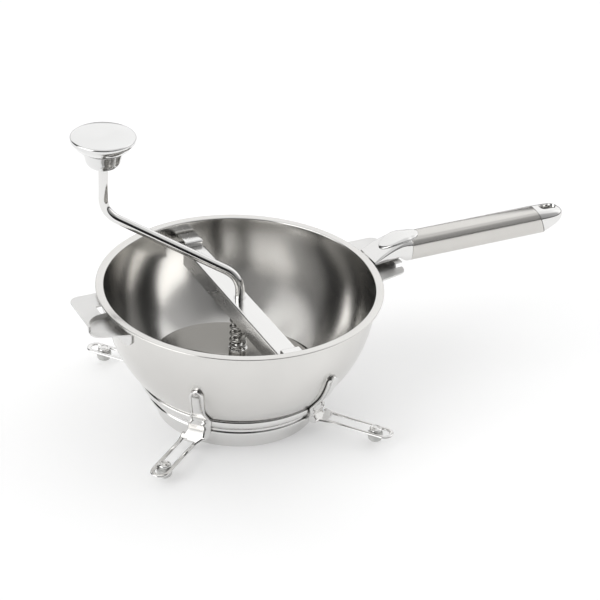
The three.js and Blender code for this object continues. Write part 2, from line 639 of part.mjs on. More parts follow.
function crossbar() {
  const half = BAR_WIDTH / 2;
  const low = BAR_TOP - BAR_DEPTH;
  const under = BAR_TOP - BAR_SHEET;
  const corner = 1.5;
  const channel = slab([
    [-half, low], [-half + BAR_SHEET, low], [-half + BAR_SHEET, under],
    [half - BAR_SHEET, under], [half - BAR_SHEET, low], [half, low],
    [half, BAR_TOP - corner], [half - corner, BAR_TOP],
    [corner - half, BAR_TOP], [-half, BAR_TOP - corner],
  ], -BAR_HALF_LENGTH, BAR_HALF_LENGTH).rotateX(Math.PI / 2);
  const bore = disc(BORE_RADIUS + BUSH_WALL + GAP, low, BAR_TOP + 5, 0, SMALL_SIDES);
  const trims = [-1, 1].map((side) => {
    const length = BAR_HALF_LENGTH - BAR_WALL_HALF_LENGTH + 1;
    const middle = side * (BAR_WALL_HALF_LENGTH + length / 2);
    const height = BAR_DEPTH;
    return new THREE.BoxGeometry(BAR_WIDTH + 2, length, height)
      .translate(0, middle, under - height / 2);
  });
  return cut(channel, bore, ...trims);
}

function crossbarBush() {
  const sleeve = BORE_RADIUS + BUSH_WALL;
  const flangeTop = BAR_TOP - BAR_SHEET - GAP;
  return revolve([
    [BORE_RADIUS, BUSH_FLANGE_BOTTOM],
    [CHANNEL_FIT, BUSH_FLANGE_BOTTOM],
    [CHANNEL_FIT, flangeTop],
    [sleeve, flangeTop],
    [sleeve, BAR_TOP],
    [BORE_RADIUS, BAR_TOP],
  ], SMALL_SIDES);
}

// A bent clip welded inside the wall that holds one end of the bar down.
function barCatch() {
  const wall = Math.sqrt(ballRadiusAt(BOWL_RADIUS, BAR_TOP) ** 2 - (CATCH_WIDTH / 2) ** 2)
    - CATCH_WALL_GAP;
  const lip = BAR_HALF_LENGTH - CATCH_OVERLAP;
  const low = BAR_TOP + GAP;
  const high = BAR_TOP + CATCH_HEIGHT;
  const t = CATCH_SHEET;
  const outline = [
    [wall - t, low], [wall, low], [wall, high], [lip + t, high], [lip, high - t], [lip, low],
    [lip + t, low], [lip + t, high - t], [wall - t, high - t],
  ];
  return slab(outline, -CATCH_WIDTH / 2, CATCH_WIDTH / 2).rotateX(Math.PI / 2).rotateZ(Math.PI / 2);
}

// ------------------------------------------------------------ blade and crank

// One vane of the blade: a sheet that climbs steadily as it turns about Z.
function vane(azimuth) {
  const turnSteps = 10;
  const stations = [HUB_RADIUS - 1, 30, 54, BLADE_RADIUS];
  const rings = [];
  for (let i = 0; i <= turnSteps; i += 1) {
    const share = i / turnSteps;
    const angle = radians(azimuth + BLADE_SWEEP * share);
    const low = BLADE_BOTTOM + BLADE_RISE * share ** 1.3;
    const point = (radius, height) =>
      new THREE.Vector3(radius * Math.cos(angle), radius * Math.sin(angle), height);
    rings.push([
      ...stations.map((radius) => point(radius, low)),
      ...stations.toReversed().map((radius) => point(radius, low + BLADE_SHEET)),
    ]);
  }
  return loft(rings.map((ring) => ring.toReversed()));
}

function pressBlade() {
  const hub = disc(HUB_RADIUS, BLADE_BOTTOM, HUB_TOP, BORE_RADIUS, SMALL_SIDES);
  const vanes = join(vane(BLADE_AZIMUTH), vane(BLADE_AZIMUTH + 180), hub);
  const bore = disc(BORE_RADIUS, BLADE_BOTTOM - 5, HUB_TOP + 5, 0, SMALL_SIDES);
  return cut(vanes, bore, pinShape(GAP));
}

// The cross pin, along the crank's azimuth, with an optional clearance.
function pinShape(clearance) {
  const half = HUB_RADIUS - 0.4 + clearance * 4;
  return disc(DRIVE_PIN_RADIUS + clearance, -half, half, 0, 10)
    .rotateY(Math.PI / 2)
    .rotateZ(radians(CRANK_AZIMUTH))
    .translate(0, 0, DRIVE_PIN_HEIGHT);
}

function crankPath() {
  const bottom = SEAT_HEIGHT - PIVOT_BELOW_SIEVE;
  const slope = Math.atan2(CRANK_HIGH - CRANK_LOW, CRANK_REACH);
  const turn = Math.PI / 2 - slope;
  const trim = CRANK_BEND * Math.tan(turn / 2);
  const turnDegrees = THREE.MathUtils.radToDeg(turn);
  const top = KNOB_NECK_HEIGHT + 2.5;
  return [
    [0, bottom],
    [0, SEAT_HEIGHT],
    ...arcPoints([CRANK_BEND, CRANK_LOW - trim], CRANK_BEND, 180, 180 - turnDegrees, 5),
    ...arcPoints([CRANK_REACH - CRANK_BEND, CRANK_HIGH + trim], CRANK_BEND, -turnDegrees, 0, 5),
    [CRANK_REACH, top],
  ];
}

function crankRod() {
  const rod = bentRod(crankPath(), ROD_RADIUS).rotateZ(radians(CRANK_AZIMUTH));
  return cut(rod, pinShape(GAP));
}

function knobBase() {
  const well = KNOB_NECK_HEIGHT - 4;
  return revolve([
    [BORE_RADIUS, KNOB_BOTTOM], [KNOB_CUP_RADIUS * 0.62, KNOB_BOTTOM],
    [KNOB_CUP_RADIUS * 0.84, KNOB_BOTTOM + 1.6], [KNOB_CUP_RADIUS * 0.95, KNOB_BOTTOM + 4],
    [KNOB_CUP_RADIUS, KNOB_BOTTOM + 7], [KNOB_NECK_RADIUS, KNOB_NECK_HEIGHT - 2],
    [KNOB_NECK_RADIUS + 1.2, KNOB_NECK_HEIGHT], [RETAINER_RADIUS + 1, KNOB_NECK_HEIGHT],
    [RETAINER_RADIUS + 1, well], [BORE_RADIUS, well],
  ], KNOB_SIDES);
}

function knobCap() {
  const seat = KNOB_NECK_HEIGHT + GAP;
  const crown = KNOB_EDGE_HEIGHT + KNOB_CROWN;
  return revolve([
    [0, seat + 3.5], [RETAINER_RADIUS + 1, seat + 3.5], [RETAINER_RADIUS + 1, seat],
    [KNOB_NECK_RADIUS + 1.2, seat], [KNOB_RADIUS - 4, seat + 4.5],
    [KNOB_RADIUS - 0.4, KNOB_EDGE_HEIGHT - 1], [KNOB_RADIUS, KNOB_EDGE_HEIGHT],
    [KNOB_RADIUS - 1, KNOB_EDGE_HEIGHT + 0.8], [KNOB_RADIUS * 0.75, crown - KNOB_CROWN * 0.45],
    [KNOB_RADIUS * 0.4, crown - KNOB_CROWN * 0.1], [0, crown],
  ], KNOB_SIDES);
}

function knobRetainer() {
  const bottom = KNOB_NECK_HEIGHT - 4 + GAP;
  return disc(RETAINER_RADIUS, bottom, bottom + WASHER_THICKNESS, ROD_RADIUS + GAP, SMALL_SIDES);
}

// The pressure spring: a round wire wound about Z with closed, flattened ends.
function spring() {
  const bottom = CARRIER_TOP + GAP + WIRE_RADIUS;
  const top = SPRING_SEAT_BOTTOM - GAP - WIRE_RADIUS;
  const perTurn = 8;
  const steps = SPRING_TURNS * perTurn;
  const wireSides = 5;
  const rings = Array.from({ length: steps + 1 }, (_, i) => {
    const share = i / steps;
    const angle = 2 * Math.PI * SPRING_TURNS * share;
    const height = bottom + (top - bottom) * share;
    const outward = new THREE.Vector3(Math.cos(angle), Math.sin(angle), 0);
    return Array.from({ length: wireSides }, (_, k) => {
      const turn = 2 * Math.PI * k / wireSides;
      return outward.clone()
        .multiplyScalar(SPRING_RADIUS + WIRE_RADIUS * Math.cos(turn))
        .setZ(height + WIRE_RADIUS * Math.sin(turn));
    });
  });
  return loft(rings.map((ring) => ring.toReversed()));
}

// ------------------------------------------------------------------ assembly

const mill = new THREE.Group();
// The bowl's axis stands off the origin, so that the whole object is centred.
mill.position.x = (GRIP_REACH - HANDLE_REACH) / 2;

function addPiece(name, geometry, material, azimuth = 0) {
  const mesh = new THREE.Mesh(geometry, material);
  mesh.name = name;
  mesh.rotation.z = radians(azimuth);
  mill.add(mesh);
}

addPiece('bowl', bowl(), satinSteel);
addPiece('base_ring', baseRing(), polishedSteel);
addPiece('sieve_disc', sieveDisc(), brushedSteel);

for (let i = 0; i < LEG_COUNT; i += 1) {
  const azimuth = LEG_AZIMUTH + 360 * i / LEG_COUNT;
  addPiece(`leg_${i + 1}`, leg(LEG_LEANS[i % LEG_LEANS.length]), polishedSteel, azimuth);
  addPiece(`foot_${i + 1}`, foot(), rubber, azimuth);
  addPiece(`foot_stud_${i + 1}`, footStud(), polishedSteel, azimuth);
}

addPiece('handle_plate', sidePlate(HANDLE_PLATE_REACH), polishedSteel);
addPiece('helper_grip_plate', mirrored(sidePlate(GRIP_REACH)), polishedSteel, 180);
addPiece('handle_ferrule', handleFerrule(), polishedSteel);
addPiece('handle_tube', handleTube(), brushedSteel);
addPiece('handle_end_cap', handleEndCap(), polishedSteel);
addPiece('handle_clasp', handleClasp(), polishedSteel);

addPiece('crossbar', crossbar(), polishedSteel);
addPiece('crossbar_bush', crossbarBush(), nylon);
addPiece('bar_catch_left', barCatch(), satinSteel);
addPiece('bar_catch_right', barCatch(), satinSteel, 180);

const seatTop = SPRING_SEAT_BOTTOM + WASHER_THICKNESS;
addPiece('spring_seat', disc(CHANNEL_FIT, SPRING_SEAT_BOTTOM, seatTop, BORE_RADIUS,
  SMALL_SIDES), polishedSteel);
addPiece('pressure_spring', spring(), springSteel);
addPiece('thrust_washer', disc(WASHER_RADIUS, CARRIER_BOTTOM, CARRIER_TOP, BORE_RADIUS,
  SMALL_SIDES), polishedSteel);

addPiece('crank_rod', crankRod(), polishedSteel);
addPiece('press_blade', pressBlade(), brushedSteel);
addPiece('drive_pin', pinShape(0), polishedSteel);

const knob = new THREE.Group();
knob.rotation.z = radians(CRANK_AZIMUTH);
for (const [name, geometry, material] of [
  ['knob_base', knobBase(), polishedSteel],
  ['knob_cap', knobCap(), polishedSteel],
  ['knob_retainer', knobRetainer(), springSteel],
]) {
  const mesh = new THREE.Mesh(geometry.translate(CRANK_REACH, 0, 0), material);
  mesh.name = name;
  knob.add(mesh);
}
mill.add(knob);

const part = new THREE.Group();
part.add(mill);

export default part;
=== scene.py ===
"""A stainless rotary food mill: spun bowl, perforated sieve, spring-pressed blade,
bent crank with a turned knob, crossbar, tube handle and four looped legs.

Shapes are worked out in millimetres and put into the meshes in metres. The bowl's axis
and the pieces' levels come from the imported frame; +X runs along the handle and +Z is up.
"""
import json
from math import pi, radians, tau

import bmesh
import bpy
import numpy as np
from mathutils import Matrix, Vector

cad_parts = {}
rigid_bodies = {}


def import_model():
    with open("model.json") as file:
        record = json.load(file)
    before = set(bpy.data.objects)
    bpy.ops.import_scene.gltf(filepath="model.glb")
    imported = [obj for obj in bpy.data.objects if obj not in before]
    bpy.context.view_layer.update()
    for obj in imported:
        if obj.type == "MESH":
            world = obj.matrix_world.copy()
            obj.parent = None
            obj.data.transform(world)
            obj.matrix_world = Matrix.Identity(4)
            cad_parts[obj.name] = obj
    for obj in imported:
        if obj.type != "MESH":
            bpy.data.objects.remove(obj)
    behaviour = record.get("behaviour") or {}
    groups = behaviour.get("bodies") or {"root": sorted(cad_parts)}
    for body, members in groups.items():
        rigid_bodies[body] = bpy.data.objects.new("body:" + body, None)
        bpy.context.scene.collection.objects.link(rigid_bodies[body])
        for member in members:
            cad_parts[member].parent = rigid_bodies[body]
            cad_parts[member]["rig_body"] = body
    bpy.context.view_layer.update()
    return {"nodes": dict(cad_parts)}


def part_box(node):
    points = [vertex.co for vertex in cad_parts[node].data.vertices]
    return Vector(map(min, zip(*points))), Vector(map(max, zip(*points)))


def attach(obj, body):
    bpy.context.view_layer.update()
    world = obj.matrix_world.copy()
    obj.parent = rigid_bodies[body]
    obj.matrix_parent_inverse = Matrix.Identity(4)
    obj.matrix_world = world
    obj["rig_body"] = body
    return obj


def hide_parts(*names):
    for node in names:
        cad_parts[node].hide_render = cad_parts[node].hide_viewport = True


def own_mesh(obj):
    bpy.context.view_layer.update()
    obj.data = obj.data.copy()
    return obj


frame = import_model()

MM = 0.001


# ------------------------------------------------------------------ the frame

def node_box(node):
    """A node's lowest and highest corner in millimetres."""
    low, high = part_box(node)
    return np.array(low) / MM, np.array(high) / MM


def centre(node):
    """The middle of a node's box."""
    low, high = node_box(node)
    return (low + high) / 2


def levels(node):
    """A node's lowest and highest level in millimetres."""
    low, high = node_box(node)
    return low[2], high[2]


AXIS = centre("bowl")[:2]
BOWL_LOW, RIM = levels("bowl")
KNOB_AXIS = centre("knob_cap")[:2]
KNOB_LIP = 18.5                                          # radius where cup and cap meet
KNOB_RECESS = 9.0                                        # radius of the hollow inside them

GAP = 0.3                                                # between seated or welded pieces
BOWL_RADIUS = 120.0
SHEET = 1.0
FLANGE_RADIUS = 127.5
BALL_CENTRE = RIM - 6
BALL_OUTER = BOWL_RADIUS + SHEET
SEAT_RADIUS = 80.5
SEAT_TOP = BOWL_LOW + SHEET
LEDGE_RADIUS = 71.5                                      # inner edge of the sieve's ledge
BEAD_TOP = 36.2
BEAD_SHEET = 1.1
SIEVE_LOW, SIEVE_HIGH = levels("sieve_disc")
SIEVE_RADIUS = 79.9
BAR_LOW, BAR_TOP = levels("crossbar")
BAR_HALF = 10.0
TUBE_HEIGHT = centre("handle_tube")[2]
TUBE_RADIUS = 12.5
TUBE_SQUARENESS = 2.7                                    # 2 is round, more is squarer
TUBE_START = node_box("handle_tube")[0][0] - AXIS[0] - GAP
TUBE_END = 308.0
HANDLE_REACH = node_box("handle_end_cap")[1][0] - AXIS[0]
CAP_SLANT = 4.5
FERRULE_START = node_box("handle_ferrule")[0][0] - AXIS[0]
FERRULE_HALF = 14.2                                      # half width at the flange
FERRULE_SQUARENESS = 8
PLATE_TOP = levels("handle_plate")[1]
PLATE_EDGE = 155.5
LEG_AZIMUTHS = [38.7 + 90 * i for i in range(4)]
LEG_LEANS = [8.5, -19.0, 8.5, -19.0]                     # degrees round the bowl, at the top
LEG_REACH = 155.0
LEG_END_RADIUS = 8.7
LEG_TOP = 14.0
LEG_SHEET = 2.4
TONGUE_TOP = 82.0
TONGUE_HALF = 6.4
CRANK_AZIMUTH = 144.0
CRANK_REACH = 124.0
CRANK_LOW = 131.5
CRANK_HIGH = 178.5
ROD_RADIUS = 4.25
BORE_RADIUS = ROD_RADIUS + 0.35
BLADE_RADIUS = 76.0
BLADE_AZIMUTH = -12.0
BLADE_LOW, HUB_TOP = levels("press_blade")
HUB_RADIUS = 8.2
SPRING_LOW, SPRING_HIGH = levels("pressure_spring")


# ------------------------------------------------------- curves and surfaces

def fillet(corners, sizes, steps=6, closed=True):
    """A polyline with its corners rounded: each corner P becomes the curve
    (1-s)^2 A + 2s(1-s) P + s^2 B, where A and B lie on its two edges, size away."""
    corners = np.asarray(corners, float)
    count = len(corners)
    sizes = np.broadcast_to(sizes, count)
    s = np.linspace(0, 1, steps + 1)[:, None]
    parts = []
    for i in range(count):
        if sizes[i] == 0 or (not closed and i in (0, count - 1)):
            parts.append(corners[i:i + 1])
            continue
        before = corners[i - 1] - corners[i]
        after = corners[(i + 1) % count] - corners[i]
        reach = min(sizes[i], 0.48 * np.linalg.norm(before), 0.48 * np.linalg.norm(after))
        a = corners[i] + before / np.linalg.norm(before) * reach
        b = corners[i] + after / np.linalg.norm(after) * reach
        parts.append((1 - s) ** 2 * a + 2 * s * (1 - s) * corners[i] + s ** 2 * b)
    return np.concatenate(parts)


def arc(middle, radius, start, end, steps):
    """Points middle + radius (cos a, sin a) as a runs from start to end in degrees."""
    a = np.radians(np.linspace(start, end, steps + 1))
    return np.asarray(middle) + radius * np.stack([np.cos(a), np.sin(a)], 1)


def eased(value):
    """A share from 0 to 1 that starts and ends gently: 3 v^2 - 2 v^3."""
    return value * value * (3 - 2 * value)


def grid_faces(rows, columns, wrap_rows=False):
    """Quads that join each grid point to its neighbours; columns close round."""
    i = np.arange(rows if wrap_rows else rows - 1)[:, None]
    j = np.arange(columns)[None, :]
    below, beside = (i + 1) % rows, (j + 1) % columns
    quads = [i * columns + j, i * columns + beside,
             below * columns + beside, below * columns + j]
    return np.stack(quads, -1).reshape(-1, 4)


def revolve(profile, at, sides=192):
    """A profile of (r, z) turned about an upright axis: (x + r cos a, y + r sin a, z)."""
    profile = np.asarray(profile, float)
    a = np.linspace(0, tau, sides, endpoint=False)
    r = profile[:, :1]
    z = np.broadcast_to(profile[:, 1:], (len(profile), sides))
    points = np.stack([at[0] + r * np.cos(a), at[1] + r * np.sin(a), z], -1)
    on_axis = profile[0, 0] == 0 and profile[-1, 0] == 0
    faces = grid_faces(len(profile), sides, wrap_rows=not on_axis)
    return points.reshape(-1, 3), faces.tolist()


def loft(rings):
    """A skin through an array of rings (n, m, 3), with a flat cap on each end."""
    count, sides = rings.shape[:2]
    faces = grid_faces(count, sides).tolist()
    faces.append(list(range(sides)))
    faces.append(list(range((count - 1) * sides, count * sides)))
    return rings.reshape(-1, 3), faces


def sweep(path, section, up=(0, 0, 1)):
    """A section of (across, rise) pairs carried along a path: P(i) + across S(i) + rise N(i),
    where S is the tangent crossed with up and N is S crossed with the tangent."""
    tangent = np.gradient(path, axis=0)
    tangent /= np.linalg.norm(tangent, axis=1, keepdims=True)
    side = np.cross(tangent, np.broadcast_to(up, path.shape))
    side /= np.linalg.norm(side, axis=1, keepdims=True)
    normal = np.cross(side, tangent)
    section = np.broadcast_to(section, (len(path),) + np.shape(section)[-2:])
    across = section[..., :1] * side[:, None]
    rise = section[..., 1:] * normal[:, None]
    return loft(path[:, None] + across + rise)


def bent(value, power):
    """The size of a value raised to a power, with the value's sign."""
    return np.sign(value) * np.abs(value) ** power


def soft_box(half_across, half_rise, power=4, sides=28):
    """A ring between an ellipse (power 2) and a box: |x/a|^p + |y/b|^p = 1."""
    a = np.linspace(0, tau, sides, endpoint=False) + pi / sides
    across = half_across * bent(np.cos(a), 2 / power)
    rise = half_rise * bent(np.sin(a), 2 / power)
    return np.stack([across, rise], -1)


def circle(radius, sides):
    """A round section: a soft box of power 2."""
    return soft_box(radius, radius, 2, sides)


def turned(points, degrees):
    """Points turned about the bowl's axis; degrees may differ by point."""
    a = np.radians(degrees)
    x, y, z = points[..., 0], points[..., 1], points[..., 2]
    return np.stack([x * np.cos(a) - y * np.sin(a), x * np.sin(a) + y * np.cos(a), z], -1)


def joined(*shapes):
    """Several (points, faces) shapes as one."""
    points, faces, start = [], [], 0
    for shape_points, shape_faces in shapes:
        points.append(shape_points)
        faces += [[index + start for index in face] for face in shape_faces]
        start += len(shape_points)
    return np.concatenate(points), faces


def into_frame(points):
    """Points measured from the bowl's axis, moved to the bowl's place in the frame."""
    return points + np.array([*AXIS, 0])


# ------------------------------------------------------------------- pieces

def new_mesh(name, points, faces):
    """A mesh in metres from points in millimetres."""
    mesh = bpy.data.meshes.new(name)
    mesh.from_pydata((points * MM).tolist(), [], faces)
    return mesh


def link(name, data):
    """A new object in the scene that shows the data."""
    added = bpy.data.objects.new(name, data)
    bpy.context.scene.collection.objects.link(added)
    return added


def smooth(mesh):
    """Shades every face of a mesh smooth."""
    mesh.polygons.foreach_set("use_smooth", [True] * len(mesh.polygons))


def clean(mesh, crease):
    """Merges doubles, turns every face outward and shades smooth up to an angle."""
    work = bmesh.new()
    work.from_mesh(mesh)
    bmesh.ops.remove_doubles(work, verts=work.verts, dist=1e-6)
    bmesh.ops.dissolve_degenerate(work, dist=1e-7, edges=work.edges)
    bmesh.ops.recalc_face_normals(work, faces=work.faces)
    work.to_mesh(mesh)
    work.free()
    smooth(mesh)
    mesh.set_sharp_from_angle(angle=radians(crease))


def settle(piece, node, material):
    """Puts a finished piece in the place of its CAD node."""
    piece.data.materials.clear()
    piece.data.materials.append(material)
    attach(piece, frame["nodes"][node]["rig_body"])
    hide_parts(node)
    return piece


def add_piece(node, shape, material, crease=38):
    """A new piece from (points, faces) in millimetres that stands for a CAD node."""
    mesh = new_mesh("fine_" + node, *shape)
    clean(mesh, crease)
    return settle(link(mesh.name, mesh), node, material)


def softened(node, material, width, angle=25, segments=3):
    """A copy of a CAD node whose edges are rounded by a bevel of that width."""
    mesh = frame["nodes"][node].data.copy()
    mesh.name = "fine_" + node
    work = bmesh.new()
    work.from_mesh(mesh)
    bmesh.ops.remove_doubles(work, verts=work.verts, dist=1e-6)
    bmesh.ops.dissolve_limit(work, angle_limit=radians(1), verts=work.verts, edges=work.edges)
    work.to_mesh(mesh)
    work.free()
    smooth(mesh)
    piece = link(mesh.name, mesh)
    bevel = piece.modifiers.new("edges", "BEVEL")
    bevel.width = width * MM
    bevel.segments = segments
    bevel.limit_method = "ANGLE"
    bevel.angle_limit = radians(angle)
    bevel.harden_normals = True
    return settle(piece, node, material)


# -------------------------------------------------------- shared shader groups

def node_group(name, inputs, outputs):
    """An empty shader group with sockets given as (name, type, default)."""
    group = bpy.data.node_groups.new(name, "ShaderNodeTree")
    for direction, sockets in (("INPUT", inputs), ("OUTPUT", outputs)):
        for socket_name, kind, default in sockets:
            socket = group.interface.new_socket(socket_name, in_out=direction, socket_type=kind)
            if default is not None:
                socket.default_value = default
    return group, group.nodes.new("NodeGroupInput"), group.nodes.new("NodeGroupOutput")


def feed(tree, socket, value):
    """Links a socket to another node's output, or gives it a plain number."""
    if isinstance(value, bpy.types.NodeSocket):
        tree.links.new(value, socket)
    else:
        socket.default_value = value


def math_node(tree, operation, *values):
    """The output of a Math node whose inputs are sockets or plain numbers."""
    node = tree.nodes.new("ShaderNodeMath")
    node.operation = operation
    for socket, value in zip(node.inputs, values):
        feed(tree, socket, value)
    return node.outputs[0]


def times(tree, *values):
    """The product of two sockets or numbers."""
    return math_node(tree, "MULTIPLY", *values)


def plus(tree, *values):
    """The sum of two sockets or numbers."""
    return math_node(tree, "ADD", *values)


def noise(tree, vector, scale, detail=3.0, roughness=0.5):
    """Smooth random values from 0 to 1 over a vector."""
    node = tree.nodes.new("ShaderNodeTexNoise")
    node.inputs["Scale"].default_value = scale
    node.inputs["Detail"].default_value = detail
    node.inputs["Roughness"].default_value = roughness
    tree.links.new(vector, node.inputs["Vector"])
    return node.outputs["Fac"]


def combine(tree, x, y, z):
    """A vector from three sockets."""
    node = tree.nodes.new("ShaderNodeCombineXYZ")
    for socket, value in zip(node.inputs, (x, y, z)):
        tree.links.new(value, socket)
    return node.outputs[0]


def spread(tree, value, low, high, given=(0, 1), kind="LINEAR"):
    """Carries a value from the given range to the range from low to high."""
    node = tree.nodes.new("ShaderNodeMapRange")
    node.interpolation_type = kind
    limits = {"From Min": given[0], "From Max": given[1], "To Min": low, "To Max": high}
    for name, limit in limits.items():
        node.inputs[name].default_value = limit
    tree.links.new(value, node.inputs["Value"])
    return node.outputs["Result"]


def spun_lines_group():
    """Fine lathe lines round an upright axis: noise over (radius, height), nearly
    constant with the angle, and a coarser set for uneven passes of the tool."""
    group, given, result = node_group(
        "Spun lines",
        [("Vector", "NodeSocketVector", None), ("Fineness", "NodeSocketFloat", 4200.0)],
        [("Lines", "NodeSocketFloat", None), ("Passes", "NodeSocketFloat", None)])
    split = group.nodes.new("ShaderNodeSeparateXYZ")
    group.links.new(given.outputs["Vector"], split.inputs[0])
    x, y, z = split.outputs
    radius = math_node(group, "SQRT", plus(group, times(group, x, x), times(group, y, y)))
    angle = math_node(group, "ARCTAN2", y, x)
    fine = given.outputs["Fineness"]
    lines = combine(group, times(group, radius, fine), times(group, z, fine),
                    times(group, angle, 2.0))
    coarse = times(group, fine, 0.06)
    passes = combine(group, times(group, radius, coarse), times(group, z, coarse),
                     times(group, angle, 0.8))
    group.links.new(noise(group, lines, 1.0, 2.0), result.inputs["Lines"])
    group.links.new(noise(group, passes, 1.0, 3.0), result.inputs["Passes"])
    return group


def straight_lines_group():
    """Brushing along one direction, the vector's X: noise stretched forty times."""
    group, given, result = node_group(
        "Straight lines",
        [("Vector", "NodeSocketVector", None), ("Fineness", "NodeSocketFloat", 2400.0)],
        [("Lines", "NodeSocketFloat", None)])
    split = group.nodes.new("ShaderNodeSeparateXYZ")
    group.links.new(given.outputs["Vector"], split.inputs[0])
    x, y, z = split.outputs
    fine = given.outputs["Fineness"]
    along = times(group, x, times(group, fine, 1 / 40))
    lines = combine(group, along, times(group, y, fine), times(group, z, fine))
    group.links.new(noise(group, lines, 1.0, 2.5), result.inputs["Lines"])
    return group


def handling_group():
    """Marks of use: soft smudges from hands, and sparse hairline scratches."""
    group, given, result = node_group(
        "Handling marks",
        [("Vector", "NodeSocketVector", None)],
        [("Smudge", "NodeSocketFloat", None), ("Scratch", "NodeSocketFloat", None)])
    vector = given.outputs["Vector"]
    smudge = noise(group, vector, 26.0, 4.0, 0.55)
    group.links.new(smudge, result.inputs["Smudge"])
    cells = group.nodes.new("ShaderNodeTexVoronoi")
    cells.feature = "DISTANCE_TO_EDGE"
    cells.inputs["Scale"].default_value = 60.0
    warp = group.nodes.new("ShaderNodeMapping")
    warp.inputs["Scale"].default_value = (1.0, 0.22, 0.5)
    warp.inputs["Rotation"].default_value = (0.3, 0.5, 0.7)
    group.links.new(vector, warp.inputs["Vector"])
    group.links.new(warp.outputs[0], cells.inputs["Vector"])
    thin = math_node(group, "LESS_THAN", cells.outputs["Distance"], 0.006)
    rare = math_node(group, "GREATER_THAN", noise(group, vector, 90.0, 1.0), 0.58)
    group.links.new(times(group, thin, rare), result.inputs["Scratch"])
    return group


SPUN_LINES = spun_lines_group()
STRAIGHT_LINES = straight_lines_group()
HANDLING = handling_group()


# ------------------------------------------------------------------ materials

def start_material(name, color, metallic, origin=(0, 0, 0)):
    """A material, its Principled shader and Object coordinates measured from origin."""
    material = bpy.data.materials.new(name)
    material.use_nodes = True
    tree = material.node_tree
    shader = tree.nodes["Principled BSDF"]
    shader.inputs["Base Color"].default_value = (*color, 1)
    shader.inputs["Metallic"].default_value = metallic
    coordinates = tree.nodes.new("ShaderNodeTexCoord")
    mapping = tree.nodes.new("ShaderNodeMapping")
    mapping.inputs["Location"].default_value = [-value * MM for value in origin]
    tree.links.new(coordinates.outputs["Object"], mapping.inputs["Vector"])
    return material, tree, shader, mapping.outputs[0]


def place_group(tree, group, vector):
    """A shader group placed in a material and fed a vector."""
    node = tree.nodes.new("ShaderNodeGroup")
    node.node_tree = group
    tree.links.new(vector, node.inputs["Vector"])
    return node


def bump(tree, shader, height, distance, strength=1.0):
    """Feeds a height map, distance millimetres deep, to the shader's normal."""
    node = tree.nodes.new("ShaderNodeBump")
    node.inputs["Strength"].default_value = strength
    node.inputs["Distance"].default_value = distance * MM
    tree.links.new(height, node.inputs["Height"])
    tree.links.new(node.outputs[0], shader.inputs["Normal"])


def shade(color, share):
    """A colour with its brightness scaled, no brighter than white."""
    return (*(min(1.0, value * share) for value in color), 1)


def color_mix(tree, share, first, second):
    """A colour between two others, which are sockets or plain colours."""
    node = tree.nodes.new("ShaderNodeMix")
    node.data_type = "RGBA"
    share_socket, first_socket, second_socket = node.inputs[0], node.inputs[6], node.inputs[7]
    tree.links.new(share, share_socket)
    feed(tree, first_socket, first)
    feed(tree, second_socket, second)
    return node.outputs[2]


def tint(tree, shader, value, color, dark, light):
    """Base colour from dark times to light times a colour as a value runs from 0 to 1."""
    mixed = color_mix(tree, value, shade(color, dark), shade(color, light))
    tree.links.new(mixed, shader.inputs["Base Color"])


def spun_steel(name, color, roughness, anisotropy, origin, depth):
    """Steel with lathe lines round origin; anisotropy drags highlights across them."""
    material, tree, shader, vector = start_material(name, color, 1.0, origin)
    spun = place_group(tree, SPUN_LINES, vector)
    marks = place_group(tree, HANDLING, vector)
    uneven = plus(tree, times(tree, spun.outputs["Lines"], 0.7),
                  times(tree, spun.outputs["Passes"], 0.3))
    tree.links.new(spread(tree, uneven, roughness * 0.85, roughness * 1.15),
                   shader.inputs["Roughness"])
    tint(tree, shader, marks.outputs["Smudge"], color, 0.93, 1.05)
    bump(tree, shader, spun.outputs["Lines"], depth)
    if anisotropy:
        shader.inputs["Anisotropic"].default_value = anisotropy
        shader.inputs["Anisotropic Rotation"].default_value = 0.25
        tangent = tree.nodes.new("ShaderNodeTangent")
        tangent.direction_type = "RADIAL"
        tangent.axis = "Z"
        tree.links.new(tangent.outputs[0], shader.inputs["Tangent"])
    return material


def polished_steel(name, color, roughness):
    """Buffed steel: nearly a mirror, with smudges and a few hairline scratches."""
    material, tree, shader, vector = start_material(name, color, 1.0)
    marks = place_group(tree, HANDLING, vector)
    smudged = spread(tree, marks.outputs["Smudge"], roughness * 0.6, roughness * 1.5)
    scratched = times(tree, marks.outputs["Scratch"], 0.12)
    tree.links.new(plus(tree, smudged, scratched), shader.inputs["Roughness"])
    tint(tree, shader, marks.outputs["Smudge"], color, 0.95, 1.03)
    wave = noise(tree, vector, 40.0, 2.0)
    bump(tree, shader, wave, 0.05, 0.35)
    return material


def brushed_steel(name, color, roughness):
    """Steel brushed along the handle, with smudges."""
    material, tree, shader, vector = start_material(name, color, 1.0)
    lines = place_group(tree, STRAIGHT_LINES, vector)
    marks = place_group(tree, HANDLING, vector)
    tree.links.new(spread(tree, lines.outputs["Lines"], roughness * 0.7, roughness * 1.35),
                   shader.inputs["Roughness"])
    tint(tree, shader, marks.outputs["Smudge"], color, 0.94, 1.05)
    bump(tree, shader, lines.outputs["Lines"], 0.004)
    return material


def soft_material(name, color, roughness, grain, depth):
    """Rubber or nylon: matt, with a fine moulded grain and faint colour variation."""
    material, tree, shader, vector = start_material(name, color, 0.0)
    pores = noise(tree, vector, grain, 3.0, 0.6)
    patches = noise(tree, vector, 60.0, 3.0)
    tint(tree, shader, patches, color, 0.9, 1.05)
    tree.links.new(spread(tree, pores, roughness * 0.85, min(1.0, roughness * 1.15)),
                   shader.inputs["Roughness"])
    bump(tree, shader, pores, depth, 0.6)
    return material


